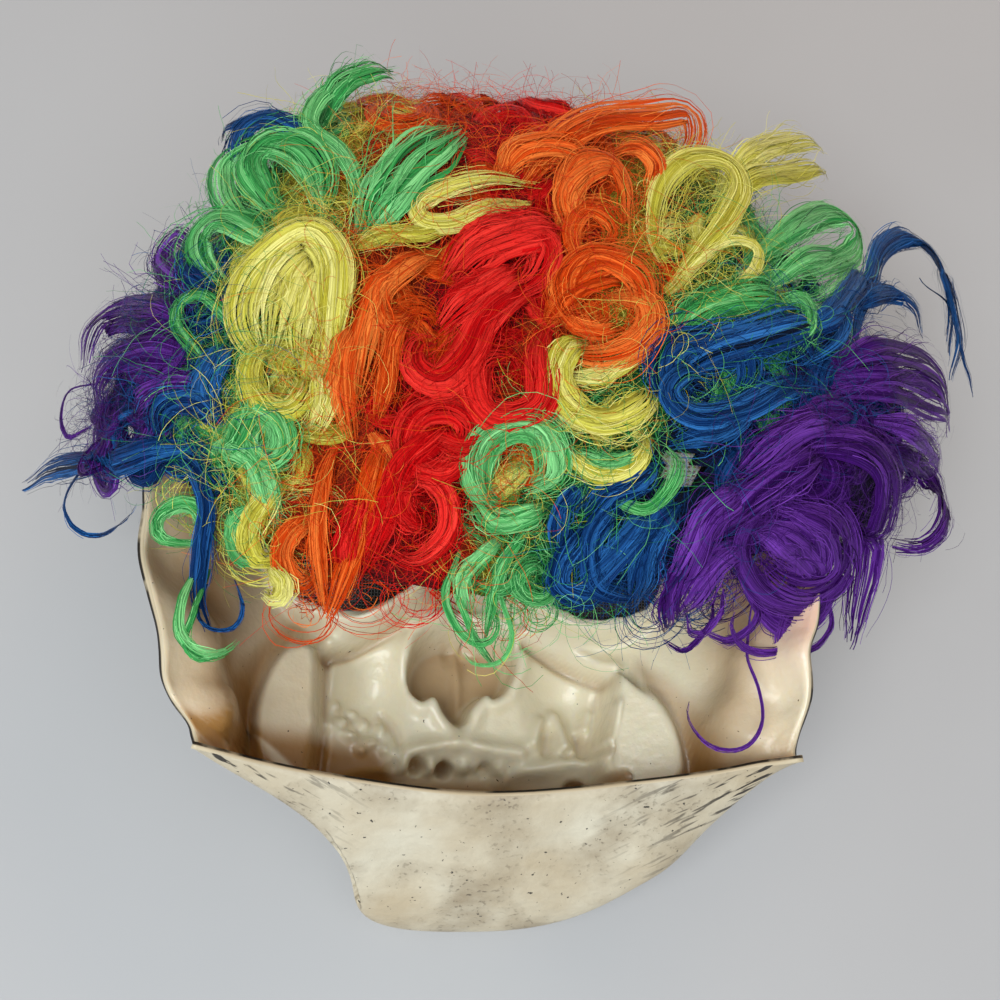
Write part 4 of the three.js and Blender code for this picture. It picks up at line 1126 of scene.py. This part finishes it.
def mat_in_painted_shade(name, deep, main):
    """The tangled mass of short curly hair under the locks, in colours from deep to half deep: painted
    shade under the locks.
    """
    material, tree, shader = new_material(name, Roughness=0.7, Specular_IOR_Level=0.2)
    place = place_on(tree)
    inputs = {"Vector": place, "Scale": 420.0, "Detail": 6.0, "Distortion": 3.5}
    tangle = add_node(tree, "ShaderNodeTexNoise", inputs).outputs["Fac"]
    # Painted shade: the mat only runs from the deep colour to half deep, darker than the locks over it.
    half_deep = blend(tree, 0.55, paint(*deep), paint(*main))
    colour = blend(tree, between(tree, tangle, 0.42, 0.62), paint(*deep), half_deep)
    colour_with(tree, shader, colour)
    raise_surface(tree, shader, tangle, 0.9, 0.003)
    return material


def spread_over(columns, rows, first):
    """Places spread evenly over the wig, from a first row to the nape."""
    grid = np.meshgrid(np.linspace(-1, 1, columns), np.linspace(first, 1, rows))
    return [axis.ravel() for axis in grid]


def stripe_mat(stripe, chance):
    """The lumpy mat under a stripe's locks, with a hole where the net shows."""
    rows = MAT_STEPS * (HAIR_ROWS[1] - HAIR_ROWS[0])
    along = np.repeat(np.linspace(*HAIR_ROWS, rows + 1) / NET_ROWS, MAT_COLUMNS + 1)
    left_edge, right_edge = stripe_edges(stripe, along, MAT_FALL)
    over_stripe = np.tile(np.linspace(0, 1, MAT_COLUMNS + 1), rows + 1)
    across = left_edge + (right_edge - left_edge) * over_stripe
    waves = np.sin(across * 37 + stripe) * np.sin(along * 51)
    lumps = 1 + 0.07 * waves + chance.normal(0, 0.025, len(along))
    short = 1 - 0.55 * smooth_step(along, 0.7, 0.9) * smooth_step(-across, 0.6, 0.8)
    under = hair_top(across, along, 0)
    over = hair_top(across, along, MAT_SHARE * lumps * short * crown_trim(along))
    quads = grid_quads(rows, MAT_COLUMNS)
    quads = quads[from_patch(over[quads].mean(axis=1)) >= BARE_PATCH[1]]
    faces = np.concatenate([quads, quads[:, ::-1] + len(under), walls_between(quads, len(under))])
    used, faces = np.unique(faces, return_inverse=True)
    points = np.concatenate([under, over])[used]
    places = np.tile(np.stack([across * 60, along * 40], axis=-1), (2, 1))[used]
    return points, faces.reshape(-1, 4), places, np.full(len(points), MAT_TINT)


def main_locks(name, chance):
    """The locks of a stripe that the photograph shows one by one."""
    made = []
    for owner, loose_height, rows in LOCKS:
        for half_breadth, *pixels in rows if owner == name else ():
            places = [on_hair(np.array(pixel), loose_height) for pixel in pixels]
            path, ups = even_path(places, LOCK_LIFT)
            bands = 2 + int(BANDS_PER_MM * half_breadth)
            tint = chance.uniform(0.5, 0.78)
            made.append(lock(path, ups, half_breadth, tint, bands, MAIN_HAIRS, chance))
    return made


def small_locks(stripe, chance):
    """Small locks between the main ones, and thin wisps at the nape, at random places."""
    small_count = SMALL_LOCKS[0] + int(SMALL_LOCKS[1] * stripe_width(stripe, [0.2, 0.8]))
    small = within_stripe(stripe, small_count, HAIR_ROWS, 0.88, chance)
    wisp_count = WISPS[0] + int(WISPS[1] * stripe_width(stripe, [1.0]))
    wisps = within_stripe(stripe, wisp_count, WISP_ROWS, 1.01, chance)
    across, along = np.concatenate([small, wisps], axis=1)
    roots = hair_top(across, along, 0.85 * crown_trim(along))
    onwards = unit(hair_top(across, along + 0.01, 1) - hair_top(across, along - 0.01, 1))
    made = []
    for number, (root, up, onward) in enumerate(zip(roots, top_normal(across, along), onwards)):
        heading = chance.normal(0, 1.1)
        ahead = np.cos(heading) * onward + np.sin(heading) * np.cross(up, onward)
        radius = chance.uniform(4, 9)
        turns = chance.uniform(0.55, 1.2) * chance.choice([-1, 1])
        places = curl_places(root, up, ahead, chance.uniform(8, 22), radius, turns)
        if from_patch(places).min() < 1.4 * BARE_PATCH[1]:
            continue
        path, ups = even_path(places, SMALL_LIFT)
        half_breadth = chance.uniform(0.4, 0.6) * radius
        bands = 2 + int(BANDS_PER_MM * half_breadth) if number < len(small[0]) else 0
        tint = chance.uniform(0.3, 0.66)
        made.append(lock(path, ups, half_breadth, tint, bands, SMALL_HAIRS, chance))
    return made


def haze(stripe, chance):
    """The loose fibres of a stripe, a few of them astray over its neighbours."""
    across, along = within_stripe(stripe, LOOSE_FIBRES, HAIR_ROWS, 1.0, chance)
    across = np.clip(across + chance.normal(0, FIBRE_STRAY, len(across)), -1, 1)
    return loose_fibres(across, along, chance)


def joined(parts):
    """Parts put together: points, quads, surface places and tints."""
    starts = np.cumsum([0] + [len(part[0]) for part in parts[:-1]])
    points, places, tints = (np.concatenate([part[k] for part in parts]) for k in (0, 2, 3))
    quads = np.concatenate([part[1] + start for part, start in zip(parts, starts)])
    return points, quads, places, tints


view_axes = np.array([right, forward.cross(right), forward])
fine_top = hair_top(*spread_over(201, 151, 0), 1)
top_pixels, top_depth = in_photo(fine_top)
sample_across, sample_along = spread_over(81, 61, 0.05)
sample_top = hair_top(sample_across, sample_along, crown_trim(sample_along))
sample_normal = top_normal(sample_across, sample_along)
hair_materials = {}
for stripe, (name, colours, *_) in enumerate(STRIPES):
    colour_name = name.removesuffix("_left").removesuffix("_right")
    if colour_name not in hair_materials:
        fibre = hair_fibre(f"{colour_name}_fibre", *colours)
        hair_materials[colour_name] = [fibre, mat_in_painted_shade(f"{colour_name}_mat", *colours[:2])]
    chance = np.random.default_rng(100 + stripe)
    mat = stripe_mat(stripe, chance)
    locks = main_locks(name, chance) + small_locks(stripe, chance)
    points, quads, places, tints = joined([mat, *locks, haze(stripe, chance)])
    in_mat = (np.arange(len(quads)) < len(mat[1])).astype(int)
    hair = add_piece(f"{name}_curls", points, quads, hair_materials[colour_name], in_mat)
    surface_places = hair.data.uv_layers.new(name="strands")
    surface_places.data.foreach_set("uv", places[quads.ravel()].ravel().astype(np.float32))
    set_attribute(hair, "tint", tints)
    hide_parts(name)

# Floor and light: a plain pale surface under soft daylight, which comes from above the chin on the
# left, with a weak warm light from beyond the crown.


def pale_floor():
    """A plain matte surface, very slightly cloudy."""
    material, tree, shader = new_material("pale_floor", Roughness=0.7)
    clouds = noise(tree, place_on(tree), 8)
    colour_with(tree, shader, blend(tree, clouds, paint(182, 182, 182), paint(175, 175, 175)))
    return material


bpy.ops.mesh.primitive_plane_add(size=8)
floor = bpy.context.object
floor.name = "floor"
floor.data.materials.append(pale_floor())
# Name, place, width, power and colour.
LIGHTS = [
    ("window", (-0.75, -0.75, 1.8), 1.2, 31, (0.93, 0.97, 1.0)),
    ("lamp", (0.4, 0.85, 0.8), 0.6, 3.0, (1.0, 0.64, 0.4)),
    ("sky", (0.2, -0.5, 2.0), 1.6, 6, (0.97, 0.98, 1.0)),
    ("fill", (-0.1, -0.75, 0.45), 0.5, 2.6, (0.86, 0.94, 1.0)),
]
for name, spot, width, power, colour in LIGHTS:
    light = bpy.data.lights.new(name, "AREA")
    light.size = width
    light.energy = power
    light.color = colour
    lamp = bpy.data.objects.new(name, light)
    lamp.location = spot
    lamp.rotation_euler = (-Vector(spot)).to_track_quat("-Z", "Y").to_euler()
    bpy.context.collection.objects.link(lamp)
world = bpy.data.worlds.new("room")
world.use_nodes = True
background = world.node_tree.nodes["Background"]
background.inputs["Color"].default_value = (0.85, 0.88, 0.92, 1)
background.inputs["Strength"].default_value = 0.3
bpy.context.scene.world = world
